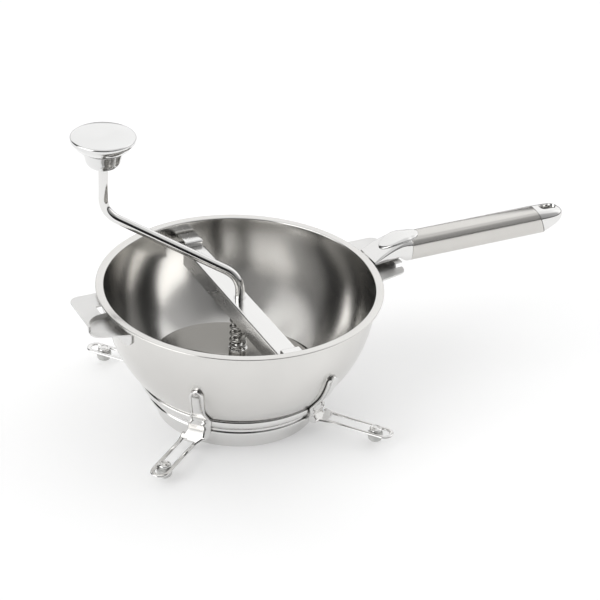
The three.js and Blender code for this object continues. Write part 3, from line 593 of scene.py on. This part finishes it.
BOWL_STEEL = spun_steel("Spun bowl steel", (0.71, 0.70, 0.68), roughness=0.17,
                        anisotropy=0.5, origin=(*AXIS, 0), depth=0.0006)
RING_STEEL = spun_steel("Turned ring steel", (0.78, 0.775, 0.765), roughness=0.10,
                        anisotropy=0.3, origin=(*AXIS, 0), depth=0.001)
KNOB_STEEL = spun_steel("Turned knob steel", (0.78, 0.78, 0.775), roughness=0.1,
                        anisotropy=0.0, origin=(*KNOB_AXIS, 0), depth=0.0006)
WASHER_STEEL = spun_steel("Turned washer steel", (0.72, 0.715, 0.70), roughness=0.16,
                          anisotropy=0.0, origin=(*AXIS, 0), depth=0.002)
MIRROR_STEEL = polished_steel("Polished steel", (0.79, 0.785, 0.775), roughness=0.085)
BAR_STEEL = polished_steel("Crossbar steel", (0.80, 0.795, 0.785), roughness=0.16)
WIRE_STEEL = polished_steel("Spring wire steel", (0.36, 0.355, 0.34), roughness=0.12)
TUBE_STEEL = brushed_steel("Brushed tube steel", (0.64, 0.625, 0.60), roughness=0.2)
BLADE_STEEL = brushed_steel("Blade steel", (0.52, 0.51, 0.49), roughness=0.18)
# The sieve's colour is painted shade: dark grey, far darker than the bowl's steel, standing in for
# the shade at the bottom of the bowl.
SHADED_SIEVE_STEEL = brushed_steel("Sieve steel in painted shade", (0.26, 0.255, 0.245), roughness=0.15)
PLATE_STEEL = brushed_steel("Plate steel", (0.76, 0.755, 0.745), roughness=0.38)
RUBBER = soft_material("Grey rubber", (0.60, 0.60, 0.585), roughness=0.62, grain=1500.0,
                       depth=0.03)
NYLON = soft_material("White nylon", (0.80, 0.79, 0.755), roughness=0.48, grain=1100.0,
                      depth=0.02)


# -------------------------------------------------------- bowl, ring and sieve

def ball_radius(outer, height):
    """Distance from the axis of a sphere's wall at a height, upright above its centre."""
    return np.sqrt(outer ** 2 - np.minimum(0, height - BALL_CENTRE) ** 2)


BEAD_INNER = ball_radius(BALL_OUTER, BEAD_TOP) + GAP
BEAD_OUTER = BEAD_INNER + BEAD_SHEET


def bowl_shape():
    """A hemisphere's wall turned about the axis, with a rolled flange and a sieve ledge."""
    inner_angle = -90 + np.degrees(np.arcsin(SEAT_RADIUS / BOWL_RADIUS))
    outer_angle = -90 + np.degrees(np.arcsin((SEAT_RADIUS + SHEET) / BALL_OUTER))
    low = SEAT_TOP - SHEET
    ledge = fillet([[LEDGE_RADIUS, SEAT_TOP], [LEDGE_RADIUS, low], [SEAT_RADIUS + SHEET, low]],
                   0.45, 4, False)
    outside = arc([0, BALL_CENTRE], BALL_OUTER, outer_angle, 0, 64)
    curl, curl_low = FLANGE_RADIUS - SHEET, RIM - 2.2
    flange = fillet([[BALL_OUTER, RIM - 4], [BALL_OUTER, RIM - SHEET], [curl, RIM - SHEET],
                     [curl, curl_low], [FLANGE_RADIUS, curl_low], [FLANGE_RADIUS, RIM],
                     [BOWL_RADIUS, RIM], [BOWL_RADIUS, RIM - 5]],
                    [0, 0.9, 0.3, 0.3, 0.3, 1.4, 1.6, 0], 7, False)
    inside = arc([0, BALL_CENTRE], BOWL_RADIUS, 0, inner_angle, 64)
    seat = fillet([inside[-1] + [0.05, 0.05], [SEAT_RADIUS, SEAT_TOP], [LEDGE_RADIUS, SEAT_TOP]],
                  0.6, 4, False)
    return revolve(np.concatenate([ledge[1:], outside, flange, inside, seat[1:-1]]), AXIS, 256)


def ring_shape():
    """A rolled strip turned about the axis: bead, groove, flange and plain band."""
    sheet = 1.2
    lip, band, flange, neck = 69.7, 73.7, 82.6, 81.4
    shelf, bead_low, bead_tuck = 17.2, 30.5, 1.4
    outside = [[lip, 0], [band, 0], [band, shelf], [flange, 17.8], [flange, 20.6], [neck, 21.2],
               [neck, 23.8], [BEAD_OUTER - bead_tuck, bead_low - 0.8],
               [BEAD_OUTER, bead_low + 2.2], [BEAD_OUTER, BEAD_TOP - 0.6]]
    inside = [[BEAD_INNER, BEAD_TOP], [BEAD_INNER, BEAD_TOP - sheet],
              [BEAD_OUTER - bead_tuck - sheet, bead_low], [81.6 - sheet, 23.6 + sheet / 2],
              [81.6 - sheet, shelf + sheet], [band - sheet, shelf + sheet],
              [band - sheet, sheet], [lip, sheet]]
    outside_bends = [0.3, 1.2, 1.0, 0.9, 0.9, 0.8, 1.2, 1.6, 1.6, 0.5]
    inside_bends = [0.2, 0.2, 1, 0.6, 0.6, 0.8, 0.8, 0.3]
    return revolve(fillet(outside + inside, outside_bends + inside_bends, 6), AXIS, 256)


def sieve_shape():
    """A disc of hexagonal cells with a round hole in each, on a triangular grid, inside
    a plain border; a cell's outline and its hole share their corner angles."""
    pitch, hole, corners, field = 4.6, 1.15, 12, 71.0
    hub_radius, sunk = 8.6, 0.02
    rows = int(field / pitch) + 2
    i, j = np.meshgrid(np.arange(-rows, rows + 1), np.arange(-rows, rows + 1))
    x = (i + 0.5 * (j % 2)) * pitch
    y = j * pitch * np.sqrt(3) / 2
    distance = np.hypot(x, y)
    keep = (distance < field - pitch) & (distance > 7.5)
    cells = np.stack([x[keep], y[keep]], -1)
    a = np.linspace(0, tau, corners, endpoint=False)
    hexagon = pitch / 2 / np.cos(np.mod(a + pi / 6, pi / 3) - pi / 6)
    unit = np.stack([np.cos(a), np.sin(a)], -1)
    rings = [unit * hexagon[:, None], unit * hole, unit * hole, unit * hexagon[:, None]]
    heights = [SIEVE_HIGH, SIEVE_HIGH, SIEVE_LOW, SIEVE_LOW]
    cell = np.concatenate([np.column_stack([ring, np.full(corners, height)])
                           for ring, height in zip(rings, heights)])
    points = (cells[:, None] @ np.eye(2, 3) + cell + [*AXIS, 0]).reshape(-1, 3)
    quads = grid_faces(4, corners)
    faces = (np.arange(len(cells))[:, None, None] * len(cell) + quads).reshape(-1, 4)
    inner = field - pitch * 1.2
    low, high = SIEVE_LOW + sunk, SIEVE_HIGH - sunk
    border = revolve(fillet([[inner, low], [SIEVE_RADIUS, SIEVE_LOW], [SIEVE_RADIUS, SIEVE_HIGH],
                             [inner, high]], 0.2, 3), AXIS, 160)
    hub = revolve([[BORE_RADIUS, low], [hub_radius, low], [hub_radius, high], [BORE_RADIUS, high]],
                  AXIS, 48)
    return joined((points, faces.tolist()), border, hub)


add_piece("bowl", bowl_shape(), BOWL_STEEL)
add_piece("base_ring", ring_shape(), RING_STEEL)
# The sieve's dark grey colour is painted shade for the bottom of the bowl.
add_piece("sieve_disc", sieve_shape(), SHADED_SIEVE_STEEL)


# ------------------------------------------------------------- legs and feet

def strap_path():
    """(distance, height, half width) stations from the tongue's top to the loop's root:
    down the bowl, over the ring's bead, in under it and out flat."""
    flat = LEG_TOP - LEG_SHEET / 2
    upright = BEAD_OUTER + 0.6 + LEG_SHEET / 2
    ball = BALL_OUTER + GAP + LEG_SHEET / 2
    knee = BALL_CENTRE - np.sqrt(ball ** 2 - upright ** 2)
    height = np.linspace(TONGUE_TOP, knee, 26)
    curve = np.stack([ball_radius(ball, height), height], -1)
    lower = fillet([[upright, knee], [upright, 32.0], [86.8, 23.6], [85.4, 17.0], [85.4, flat],
                    [94.0, flat]], [0, 4, 4, 2, 3.4, 0], 8, False)
    path = np.concatenate([curve, lower[1:]])
    return np.column_stack([path, strap_half(path)])


def strap_half(path):
    """Half the strap's width along its path: a round top, a flare over the ring, and a
    narrowing where it runs out flat."""
    below = TONGUE_TOP - path[:, 1]
    circle_share = np.sqrt(np.clip(1 - (1 - below / TONGUE_HALF) ** 2, 0.03, 1))
    rounding = circle_share * (below < TONGUE_HALF) + (below >= TONGUE_HALF)
    flare = eased(np.clip((below - 30) / 20, 0, 1))
    narrow = eased(np.clip((path[:, 0] - 86) / 8, 0, 1)) * (path[:, 1] < 16)
    return TONGUE_HALF * rounding + 4.3 * flare - 1.9 * narrow


def strap_shape(lean):
    """The strap's rounded section carried down its path, each station turned about the
    axis by lean times the 0.35th power of its share of the climb above the loop."""
    path = strap_path()
    tangent = np.gradient(path[:, :2], axis=0)
    tangent /= np.linalg.norm(tangent, axis=1, keepdims=True)
    normal = np.stack([tangent[:, 1], -tangent[:, 0]], -1)
    section = soft_box(1, LEG_SHEET / 2, 5, 36)
    across = section[None, :, 0] * path[:, 2:]
    rise = np.broadcast_to(section[:, 1], across.shape)
    x = path[:, :1] + rise * normal[:, :1]
    z = path[:, 1:2] + rise * normal[:, 1:]
    climb = 69
    share = np.clip((path[:, 1:2] - LEG_TOP + LEG_SHEET / 2) / climb, 0, 1) ** 0.35
    return loft(turned(np.stack([x, across, z], -1), lean * share))


def loop_shape():
    """A rounded rail carried out, round a long loop's end and back, open at its root."""
    rail = 6.65
    end = LEG_REACH - LEG_END_RADIUS
    tip = arc([end, 0], rail, -90, 90, 28)
    near = fillet([[84.6, -9.3], [90.5, -8.0], [98, -rail], [end - 2, -rail]],
                  [0, 3, 3, 0], 8, False)
    outline = np.concatenate([near, tip, near[::-1] * [1, -1]])
    path = np.column_stack([outline, np.full(len(outline), LEG_TOP - LEG_SHEET / 2)])
    return sweep(path, soft_box(2.05, LEG_SHEET / 2, 2.1, 20))


def leg_shape(azimuth, lean):
    """A strap and its loop, turned to their place round the bowl."""
    points, faces = joined(strap_shape(lean), loop_shape())
    return into_frame(turned(points, azimuth)), faces


def foot_shape(at):
    """A rubber button with a domed underside, a neck through the loop and a blind bore."""
    sole, button, neck, bore, bore_end = 3.5, 6.8, 4.5, 2.1, 7.2
    collar = LEG_TOP - LEG_SHEET - GAP
    profile = fillet([[0, sole], [5.6, sole], [button, 7.4], [button, collar], [neck, collar],
                      [neck, LEG_TOP], [bore, LEG_TOP], [bore, bore_end], [0, bore_end]],
                     [0, 3.0, 2.4, 0.9, 0.4, 0.3, 0.3, 0.3, 0], 6, False)
    return revolve(profile, at, 56)


def stud_shape(at):
    """A rivet with a raised ring round a dished head."""
    shank, shank_end, head, crown = 1.8, 7.5, 5.6, 2.0
    seat = LEG_TOP + GAP
    profile = fillet([[0, shank_end], [shank, shank_end], [shank, seat], [head, seat],
                      [head, seat + 1.2], [4.2, seat + crown], [3.2, seat + 1.2],
                      [1.9, seat + 1.9], [0, seat + crown]],
                     [0, 0.3, 0.3, 0.3, 0.6, 0.5, 0.4, 0.6, 0], 5, False)
    return revolve(profile, at, 56)


for number, (azimuth, lean) in enumerate(zip(LEG_AZIMUTHS, LEG_LEANS), 1):
    add_piece(f"leg_{number}", leg_shape(azimuth, lean), MIRROR_STEEL, 50)
    foot_at = centre(f"foot_{number}")
    add_piece(f"foot_{number}", foot_shape(foot_at), RUBBER)
    add_piece(f"foot_stud_{number}", stud_shape(foot_at), MIRROR_STEEL)


# -------------------------------------------------------------------- handle

def ferrule_sizes(x):
    """Top, bottom, half width and squareness of the ferrule at a distance: box-like at
    its flange on the rim, and as the tube is where it meets the tube."""
    share = np.clip((x - FERRULE_START) / (TUBE_START - FERRULE_START), 0, 1)
    behind = np.clip((x - PLATE_EDGE) / (TUBE_START - PLATE_EDGE), 0, 1)
    seat = PLATE_TOP + GAP
    top = RIM + (TUBE_HEIGHT - RIM + TUBE_RADIUS) * np.sin(pi / 2 * share)
    bottom = seat - (seat - TUBE_HEIGHT + TUBE_RADIUS) * np.sin(pi / 2 * behind)
    half = FERRULE_HALF + (TUBE_RADIUS - FERRULE_HALF) * share ** 2
    power = FERRULE_SQUARENESS - (FERRULE_SQUARENESS - TUBE_SQUARENESS) * share
    return top, bottom, half, power


def upright_ring(x, half, bottom, top, power, sides=64):
    """A soft box across the handle, at a distance along it and between two heights."""
    section = soft_box(half, (top - bottom) / 2, power, sides)
    return np.column_stack([np.full(sides, x), section[:, 0], section[:, 1] + (top + bottom) / 2])


def ferrule_ring(x):
    """One section of the ferrule."""
    top, bottom, half, power = ferrule_sizes(x)
    return upright_ring(x, half, bottom, top, power)


def spigot(start, end):
    """A plug inside the tube, between two distances along the handle."""
    section = circle(TUBE_RADIUS - 1.2, 48)
    rings = [np.column_stack([np.full(len(section), x), section]) for x in (start, end)]
    return loft(np.array(rings) + [0, 0, TUBE_HEIGHT])


def ferrule_shape():
    """The ferrule's skin through its sections, with a plug into the tube."""
    stations = np.concatenate([np.linspace(FERRULE_START, PLATE_EDGE, 14, endpoint=False),
                               np.linspace(PLATE_EDGE, TUBE_START, 26)])
    body = loft(np.array([ferrule_ring(x) for x in stations]))
    points, faces = joined(body, spigot(TUBE_START - 2, TUBE_START + 12))
    return into_frame(points), faces


def leant(rings, slant):
    """Rings sheared so that each one's top lies slant nearer the bowl."""
    rings = rings.copy()
    rings[..., 0] -= slant * (rings[..., 2] - TUBE_HEIGHT) / TUBE_RADIUS
    return rings


def tube_ring(x, radius, sides=96):
    """One section of the tube: between round and square."""
    section = soft_box(radius, radius, TUBE_SQUARENESS, sides)
    return np.column_stack([np.full(sides, x), section]) + [0, 0, TUBE_HEIGHT]


def tube_shape():
    """A thin tube whose ends are eased, square at the ferrule and slanted at the cap."""
    wall = 0.9
    start, end = TUBE_START + GAP, TUBE_END - GAP
    ease = 0.35
    stations = [(start, TUBE_RADIUS - wall), (start, TUBE_RADIUS - ease),
                (start + ease, TUBE_RADIUS),
                (end - ease, TUBE_RADIUS), (end, TUBE_RADIUS - ease), (end, TUBE_RADIUS - wall)]
    middle = (start + end) / 2
    rings = np.array([leant(tube_ring(x, r), CAP_SLANT * (x > middle)) for x, r in stations])
    points = into_frame(rings.reshape(-1, 3))
    return points, grid_faces(len(stations), rings.shape[1], wrap_rows=True).tolist()


def cap_ring(share):
    """One section of the end cap, at a share of its length: the underside climbs to a
    raised tip and the crown drops a little."""
    least = 0.02
    top = TUBE_HEIGHT + TUBE_RADIUS
    bottom = TUBE_HEIGHT - TUBE_RADIUS
    tip = TUBE_HEIGHT + TUBE_RADIUS * 0.38
    close = np.sqrt(max(0.0, 1 - share ** 6))
    upper = min(top, tip + (top - tip) * (1 - 0.22 * share) * close)
    lower = max(bottom, tip - (tip - bottom) * (1 - 0.62 * share) * close)
    middle, rise = (upper + lower) / 2, max((upper - lower) / 2, least)
    half = max(TUBE_RADIUS * np.sqrt(max(0.0, 1 - share ** 4)), least)
    x = TUBE_END + (HANDLE_REACH - TUBE_END) * share
    ring = upright_ring(x, half, middle - rise, middle + rise, TUBE_SQUARENESS)
    return leant(ring, CAP_SLANT * max(0.0, 1 - share / 0.6))


def hang_hole():
    """A tapered cutter with a long round outline, wider at its two mouths."""
    start, end, half = 311.5, 326.5, 3.75
    outline = fillet([[start, -half], [end, -half], [end, half], [start, half]], 3.6, 10)
    middle = np.array([(start + end) / 2, 0.0])
    steps = [(-20, 1.5), (-9.5, 1.14), (-7, 1.0), (8.5, 1.0), (11, 1.16), (20, 1.6)]
    rings = [np.column_stack([(outline - middle) * scale + middle,
                              np.full(len(outline), TUBE_HEIGHT + rise)])
             for rise, scale in steps]
    return loft(np.array(rings))


def scratch_object(shape):
    """A solid that is used for a cut and then removed."""
    points, faces = shape
    mesh = new_mesh("scratch", into_frame(points), faces)
    clean(mesh, 30)
    return link(mesh.name, mesh)


def cap_shape():
    """The cap's skin and plug with the hanging hole cut through."""
    shares = np.sin(np.linspace(0, pi / 2, 40))
    body = scratch_object(loft(np.array([cap_ring(share) for share in shares])))
    cutter = scratch_object(hang_hole())
    boolean = body.modifiers.new("hole", "BOOLEAN")
    boolean.operation = "DIFFERENCE"
    boolean.object = cutter
    boolean.solver = "EXACT"
    depsgraph = bpy.context.evaluated_depsgraph_get()
    cut = body.evaluated_get(depsgraph).to_mesh()
    points = np.array([v.co[:] for v in cut.vertices]) / MM
    faces = [list(p.vertices) for p in cut.polygons]
    bpy.data.objects.remove(body)
    bpy.data.objects.remove(cutter)
    plug_points, plug_faces = spigot(TUBE_END - 12, TUBE_END + 2)
    return joined((points, faces), (into_frame(plug_points), plug_faces))


def clasp_shape():
    """A leaf over the ferrule, on a grid of share (centre to edge) and angle: its top
    stands off the ferrule's own curve by a thickness that falls away at the edge."""
    start, end, half_leaf, thickness = 139.0, 178.0, 11.0, 1.2
    middle, reach = (start + end) / 2, (end - start) / 2
    edge = 0.9 + 0.1 * np.sin(np.linspace(0, pi / 2, 8))[1:]
    share = np.concatenate([np.linspace(0, 0.9, 12), edge])
    angle = np.linspace(0, tau, 96, endpoint=False)
    x = middle + reach * share[:, None] * np.cos(angle)
    y = half_leaf * share[:, None] * np.sin(angle)
    top, bottom, half, power = ferrule_sizes(x)
    curve = np.clip(1 - np.abs(y / (half + 1)) ** power, 0, 1) ** (1 / power)
    surface = (top + bottom) / 2 + (top - bottom) / 2 * curve
    crown = GAP + thickness * np.clip(1 - share ** 14, 0, 1)[:, None] ** 0.5
    upper = np.stack([x, y, surface + crown], -1)
    lower = np.stack([x, y, surface + GAP], -1)
    rows = np.concatenate([upper, lower[::-1]])
    return into_frame(rows.reshape(-1, 3)), grid_faces(len(rows), len(angle)).tolist()


for plate in ("handle_plate", "helper_grip_plate"):
    softened(plate, PLATE_STEEL, width=0.45)
add_piece("handle_ferrule", ferrule_shape(), MIRROR_STEEL, 50)
add_piece("handle_tube", tube_shape(), TUBE_STEEL)
add_piece("handle_end_cap", cap_shape(), MIRROR_STEEL, 24)
add_piece("handle_clasp", clasp_shape(), MIRROR_STEEL, 60)


# ---------------------------------------------------------------- crossbar

def bar_length(outline, start, end):
    """A flat outline of (x, z) carried along Y from start to end."""
    rings = [np.column_stack([outline[:, 0], np.full(len(outline), y), outline[:, 1]])
             for y in (start, end)]
    return loft(np.array(rings))


def bar_shape():
    """A rounded channel carried along Y, and a flat tab that runs on from its top at
    each end."""
    half, sheet, sunk = BAR_HALF, 1.5, 0.02
    wall_end, tab_start, tab_end = 101.0, 100.5, 113.0
    under = BAR_TOP - sheet
    channel = fillet([[-half, BAR_LOW], [sheet - half, BAR_LOW], [sheet - half, under],
                      [half - sheet, under], [half - sheet, BAR_LOW], [half, BAR_LOW],
                      [half, BAR_TOP], [-half, BAR_TOP]],
                     [0.3, 0.3, 1.2, 1.2, 0.3, 0.3, 2.4, 2.4], 8)
    tab = fillet([[-half, under], [half, under], [half, BAR_TOP - sunk], [-half, BAR_TOP - sunk]],
                 0.6, 5)
    points, faces = joined(bar_length(channel, -wall_end, wall_end),
                           bar_length(tab, tab_start, tab_end),
                           bar_length(tab, -tab_end, -tab_start))
    return into_frame(points), faces


def catch_strip(side):
    """A strip bent up, across and down again, welded to the wall over the bar's end."""
    half, sheet = 8.5, 1.3
    low, high = BAR_TOP + GAP, BAR_TOP + 5.5 - sheet / 2
    wall, lip = 118.5 - sheet / 2, 99.0 + sheet / 2
    line = fillet([[wall, low], [wall, high], [lip, high], [lip, low]], [0, 2.2, 2.6, 0], 8, False)
    path = np.column_stack([np.zeros(len(line)), line[:, 0] * side, line[:, 1]])
    points, faces = sweep(path, soft_box(sheet / 2, half, 7, 32), up=(1, 0, 0))
    return into_frame(points), faces


def ring_profile(inner, outer, low, high):
    """A flat ring's section with eased corners."""
    return fillet([[inner, low], [outer, low], [outer, high], [inner, high]], 0.3, 4)


def bush_shape():
    """A flanged sleeve round the rod."""
    flange, flange_sheet, sleeve = 8.2, 1.4, 5.4
    low, high = levels("crossbar_bush")
    step = low + flange_sheet
    profile = fillet([[BORE_RADIUS, low], [flange, low], [flange, step], [sleeve, step],
                      [sleeve, high], [BORE_RADIUS, high]], 0.25, 4)
    return revolve(profile, AXIS, 64)


add_piece("crossbar", bar_shape(), BAR_STEEL, 50)
add_piece("bar_catch_left", catch_strip(1), BAR_STEEL)
add_piece("bar_catch_right", catch_strip(-1), BAR_STEEL)
add_piece("crossbar_bush", bush_shape(), NYLON)
for node in ("spring_seat", "thrust_washer"):
    low, high = node_box(node)
    profile = ring_profile(BORE_RADIUS, (high[0] - low[0]) / 2, low[2], high[2])
    add_piece(node, revolve(profile, AXIS, 72), WASHER_STEEL)


# ------------------------------------------------------ crank, blade and knob

def rod_shape():
    """A round rod carried up the axis, out along a sloping arm and up to the knob."""
    low, high = levels("crank_rod")
    corners = [[0, 0, low], [0, 0, CRANK_LOW],
               [CRANK_REACH, 0, CRANK_HIGH], [CRANK_REACH, 0, high]]
    path = fillet(corners, [0, 15, 15, 0], 24, False)
    path = np.insert(path, [1, len(path) - 1], [[0, 0, low + 1], [CRANK_REACH, 0, high - 1]], 0)
    end_share = 0.82
    shrink = np.ones(len(path))
    shrink[[0, -1]] = end_share
    section = circle(ROD_RADIUS, 40) * shrink[:, None, None]
    points, faces = sweep(path, section, up=(0, 1, 0))
    return into_frame(turned(points, CRANK_AZIMUTH)), faces


def vane_shape(azimuth):
    """A sheet of constant thickness: height climbs with the 1.3th power of the turn,
    and a soft section eases the edge along the bowl and the edge along the hub."""
    rise, sweep_angle, sheet, root = 15.0, 150.0, 1.4, 7.2
    share = np.linspace(0, 1, 72)
    edge = soft_box((BLADE_RADIUS - root) / 2, sheet / 2, 12, 72)
    distance = (BLADE_RADIUS + root) / 2 + edge[:, 0]
    angle = np.radians(azimuth + sweep_angle * share)[:, None]
    height = BLADE_LOW + sheet / 2 + (rise * share ** 1.3)[:, None] + edge[:, 1]
    rings = np.stack([distance * np.cos(angle), distance * np.sin(angle), height], -1)
    return loft(rings)


def blade_shape():
    """Two vanes, half a turn apart, on a turned hub."""
    profile = fillet([[BORE_RADIUS, BLADE_LOW], [HUB_RADIUS, BLADE_LOW], [HUB_RADIUS, HUB_TOP],
                      [BORE_RADIUS, HUB_TOP]], [0.2, 0.4, 0.8, 0.3], 5)
    hub = revolve(profile, (0, 0), 72)
    points, faces = joined(vane_shape(BLADE_AZIMUTH), vane_shape(BLADE_AZIMUTH + 180), hub)
    return into_frame(points), faces


def spring_shape():
    """A helix of round wire whose pitch closes up over the first and last turn."""
    radius, wire, turns = 7.05, 1.1, 7.5
    share = np.linspace(0, 1, int(turns * 40))
    end_turn = 1 / turns
    start = np.clip(share / end_turn, 0, 1) ** 2 * end_turn / 2 + np.clip(share - end_turn, 0, None)
    tail = np.clip((share - 1 + end_turn) / end_turn, 0, 1) ** 2 * end_turn / 2
    climb = (start - tail) / (start - tail)[-1]
    low, high = SPRING_LOW + wire, SPRING_HIGH - wire
    angle = tau * turns * share
    path = np.column_stack([radius * np.cos(angle), radius * np.sin(angle),
                            low + (high - low) * climb])
    points, faces = sweep(path, circle(wire, 14))
    return into_frame(points), faces


def pin_shape():
    """A short round pin along the crank's azimuth, with eased ends."""
    half, radius, ease = 7.8, 1.5, 0.4
    stations = [(-half, radius - ease), (ease - half, radius), (half - ease, radius),
                (half, radius - ease)]
    rings = [np.column_stack([np.full(24, x), circle(r, 24)]) for x, r in stations]
    points, faces = loft(np.array(rings) + [0, 0, centre("drive_pin")[2]])
    return into_frame(turned(points, CRANK_AZIMUTH)), faces


def knob_base_shape():
    """A turned cup: a small flat foot, a round corner, a waist and a flared lip."""
    low, high = levels("knob_base")
    foot, waist, recess, recess_floor = 12.4, 15.6, KNOB_RECESS, high - 4
    corners = [[BORE_RADIUS, low], [foot, low], [waist, low + 4.4], [waist + 1, high - 6],
               [KNOB_LIP, high], [recess, high], [recess, recess_floor],
               [BORE_RADIUS, recess_floor]]
    return revolve(fillet(corners, [0.4, 3.4, 4.5, 4.0, 0.35, 0.3, 0.3, 0.3], 8), KNOB_AXIS, 160)


def knob_cap_shape():
    """A shallow turned dome with a rolled edge and a tapered underside."""
    low, high = levels("knob_cap")
    dome_radius, dome_drop, cap_radius, hollow = 25.4, 1.8, 28.8, low + 3.5
    r = np.linspace(0, dome_radius, 40)
    dome = high - dome_drop * (r / dome_radius) ** 2.2
    top = np.column_stack([r, dome])[::-1]
    edge = fillet([[24.6, low + 3.9], [cap_radius, high - 6.0], [cap_radius, high - 2.4], top[0]],
                  [1.2, 1.2, 3.2, 0], 10, False)
    under = fillet([[0, hollow], [KNOB_RECESS, hollow], [KNOB_RECESS, low], [KNOB_LIP, low],
                    edge[0]], [0, 0.3, 0.3, 0.5, 0], 4, False)
    return revolve(np.concatenate([under[:-1], edge, top]), KNOB_AXIS, 192)


add_piece("crank_rod", rod_shape(), MIRROR_STEEL, 50)
add_piece("press_blade", blade_shape(), BLADE_STEEL, 50)
add_piece("drive_pin", pin_shape(), MIRROR_STEEL)
spring = add_piece("pressure_spring", spring_shape(), WIRE_STEEL, 60)
add_piece("knob_base", knob_base_shape(), KNOB_STEEL)
add_piece("knob_cap", knob_cap_shape(), KNOB_STEEL)
retainer_profile = ring_profile(ROD_RADIUS + GAP, 8, *levels("knob_retainer"))
add_piece("knob_retainer", revolve(retainer_profile, KNOB_AXIS, 72), WIRE_STEEL)

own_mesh(spring)


# ------------------------------------------------------------ floor and light

def floor():
    """A wide pale floor under the base ring."""
    half = 6000.0
    corners = np.array([(-half, -half, 0), (half, -half, 0), (half, half, 0), (-half, half, 0)])
    mesh = new_mesh("floor", corners, [(0, 1, 2, 3)])
    plane = link(mesh.name, mesh)
    material = bpy.data.materials.new("Pale floor")
    material.use_nodes = True
    shader = material.node_tree.nodes["Principled BSDF"]
    shader.inputs["Base Color"].default_value = (0.8, 0.8, 0.8, 1)
    shader.inputs["Emission Color"].default_value = (1, 1, 1, 1)
    shader.inputs["Emission Strength"].default_value = 0.28
    shader.inputs["Roughness"].default_value = 0.9
    shader.inputs["Specular IOR Level"].default_value = 0.1
    mesh.materials.append(material)


def compass_ramp(tree, x, y, bands):
    """Brightness by compass direction, from pairs of azimuth in degrees and brightness."""
    turn = math_node(tree, "ARCTAN2", y, x)
    share = math_node(tree, "FRACT", plus(tree, math_node(tree, "DIVIDE", turn, tau), 1.0))
    ramp = tree.nodes.new("ShaderNodeValToRGB")
    ramp.color_ramp.interpolation = "EASE"
    stops = ramp.color_ramp.elements
    for azimuth, value in bands[1:-1]:
        stops.new(azimuth / 360).color = (value, value, value, 1)
    for stop, (azimuth, value) in zip((stops[0], stops[-1]), (bands[0], bands[-1])):
        stop.position = azimuth / 360
        stop.color = (value, value, value, 1)
    tree.links.new(share, ramp.inputs[0])
    return ramp.outputs["Color"]


def studio_walls(bands, overhead, horizon):
    """A surrounding of soft panels and dark flags: brightness by compass direction, dimmed
    to a dark strip at the horizon and fading into an overhead panel. It is plain white
    where it is seen directly. Edges are given as the rise of a direction of length 1."""
    panel_edge, strip_edge = (0.72, 0.9), (0.04, 0.2)
    world = bpy.data.worlds.new("Studio")
    bpy.context.scene.world = world
    world.use_nodes = True
    tree = world.node_tree
    background = tree.nodes["Background"]
    coordinates = tree.nodes.new("ShaderNodeTexCoord")
    split = tree.nodes.new("ShaderNodeSeparateXYZ")
    tree.links.new(coordinates.outputs["Generated"], split.inputs[0])
    x, y, rise = split.outputs
    high = spread(tree, rise, 0, 1, panel_edge, "SMOOTHSTEP")
    above_strip = spread(tree, rise, horizon, 1, strip_edge, "SMOOTHSTEP")
    walls = tree.nodes.new("ShaderNodeVectorMath")
    walls.operation = "SCALE"
    tree.links.new(compass_ramp(tree, x, y, bands), walls.inputs[0])
    tree.links.new(above_strip, walls.inputs["Scale"])
    panel = (overhead, overhead, overhead, 1)
    room = color_mix(tree, high, walls.outputs[0], panel)
    seen = tree.nodes.new("ShaderNodeLightPath")
    plain = color_mix(tree, seen.outputs["Is Camera Ray"], room, (1, 1, 1, 1))
    tree.links.new(plain, background.inputs["Color"])


def soft_lamp(name, place, target, size, power):
    """A square soft panel lamp at a place, facing a target, in metres and watts."""
    data = bpy.data.lights.new(name, "AREA")
    data.shape = "SQUARE"
    data.size = size
    data.energy = power
    lamp = link(name, data)
    lamp.location = place
    lamp.rotation_euler = (Vector(target) - Vector(place)).to_track_quat("-Z", "Y").to_euler()
    lamp.visible_glossy = False


def camera(place, target, roll, lens):
    """A camera at a place, looking at a target, rolled about its line of sight."""
    data = bpy.data.cameras.new("camera")
    data.lens = lens
    data.sensor_width = 36
    data.clip_end = 50
    eye = link("camera", data)
    aim = (Vector(target) - Vector(place)).to_track_quat("-Z", "Y").to_matrix().to_4x4()
    eye.matrix_world = Matrix.Translation(place) @ aim @ Matrix.Rotation(radians(roll), 4, "Z")
    bpy.context.scene.camera = eye


floor()
studio_walls([(0, 1.3), (30, 1.15), (110, 1.05), (120, 0.02), (148, 0.02), (158, 2.4), (206, 2.4),
              (217, 0.02), (260, 0.02), (280, 0.25), (325, 0.5), (345, 1.1), (359, 1.3)],
             overhead=0.8, horizon=0.04)
soft_lamp("ceiling panel", place=(-0.09, 0.1, 2.2), target=(-0.09, 0, 0.1), size=3.4, power=10)
camera(place=(-0.7746, -1.3985, 1.0300), target=(-0.0478, -0.0300, 0.1140), roll=3.092,
       lens=122.27)
bpy.context.scene.view_settings.view_transform = "Standard"
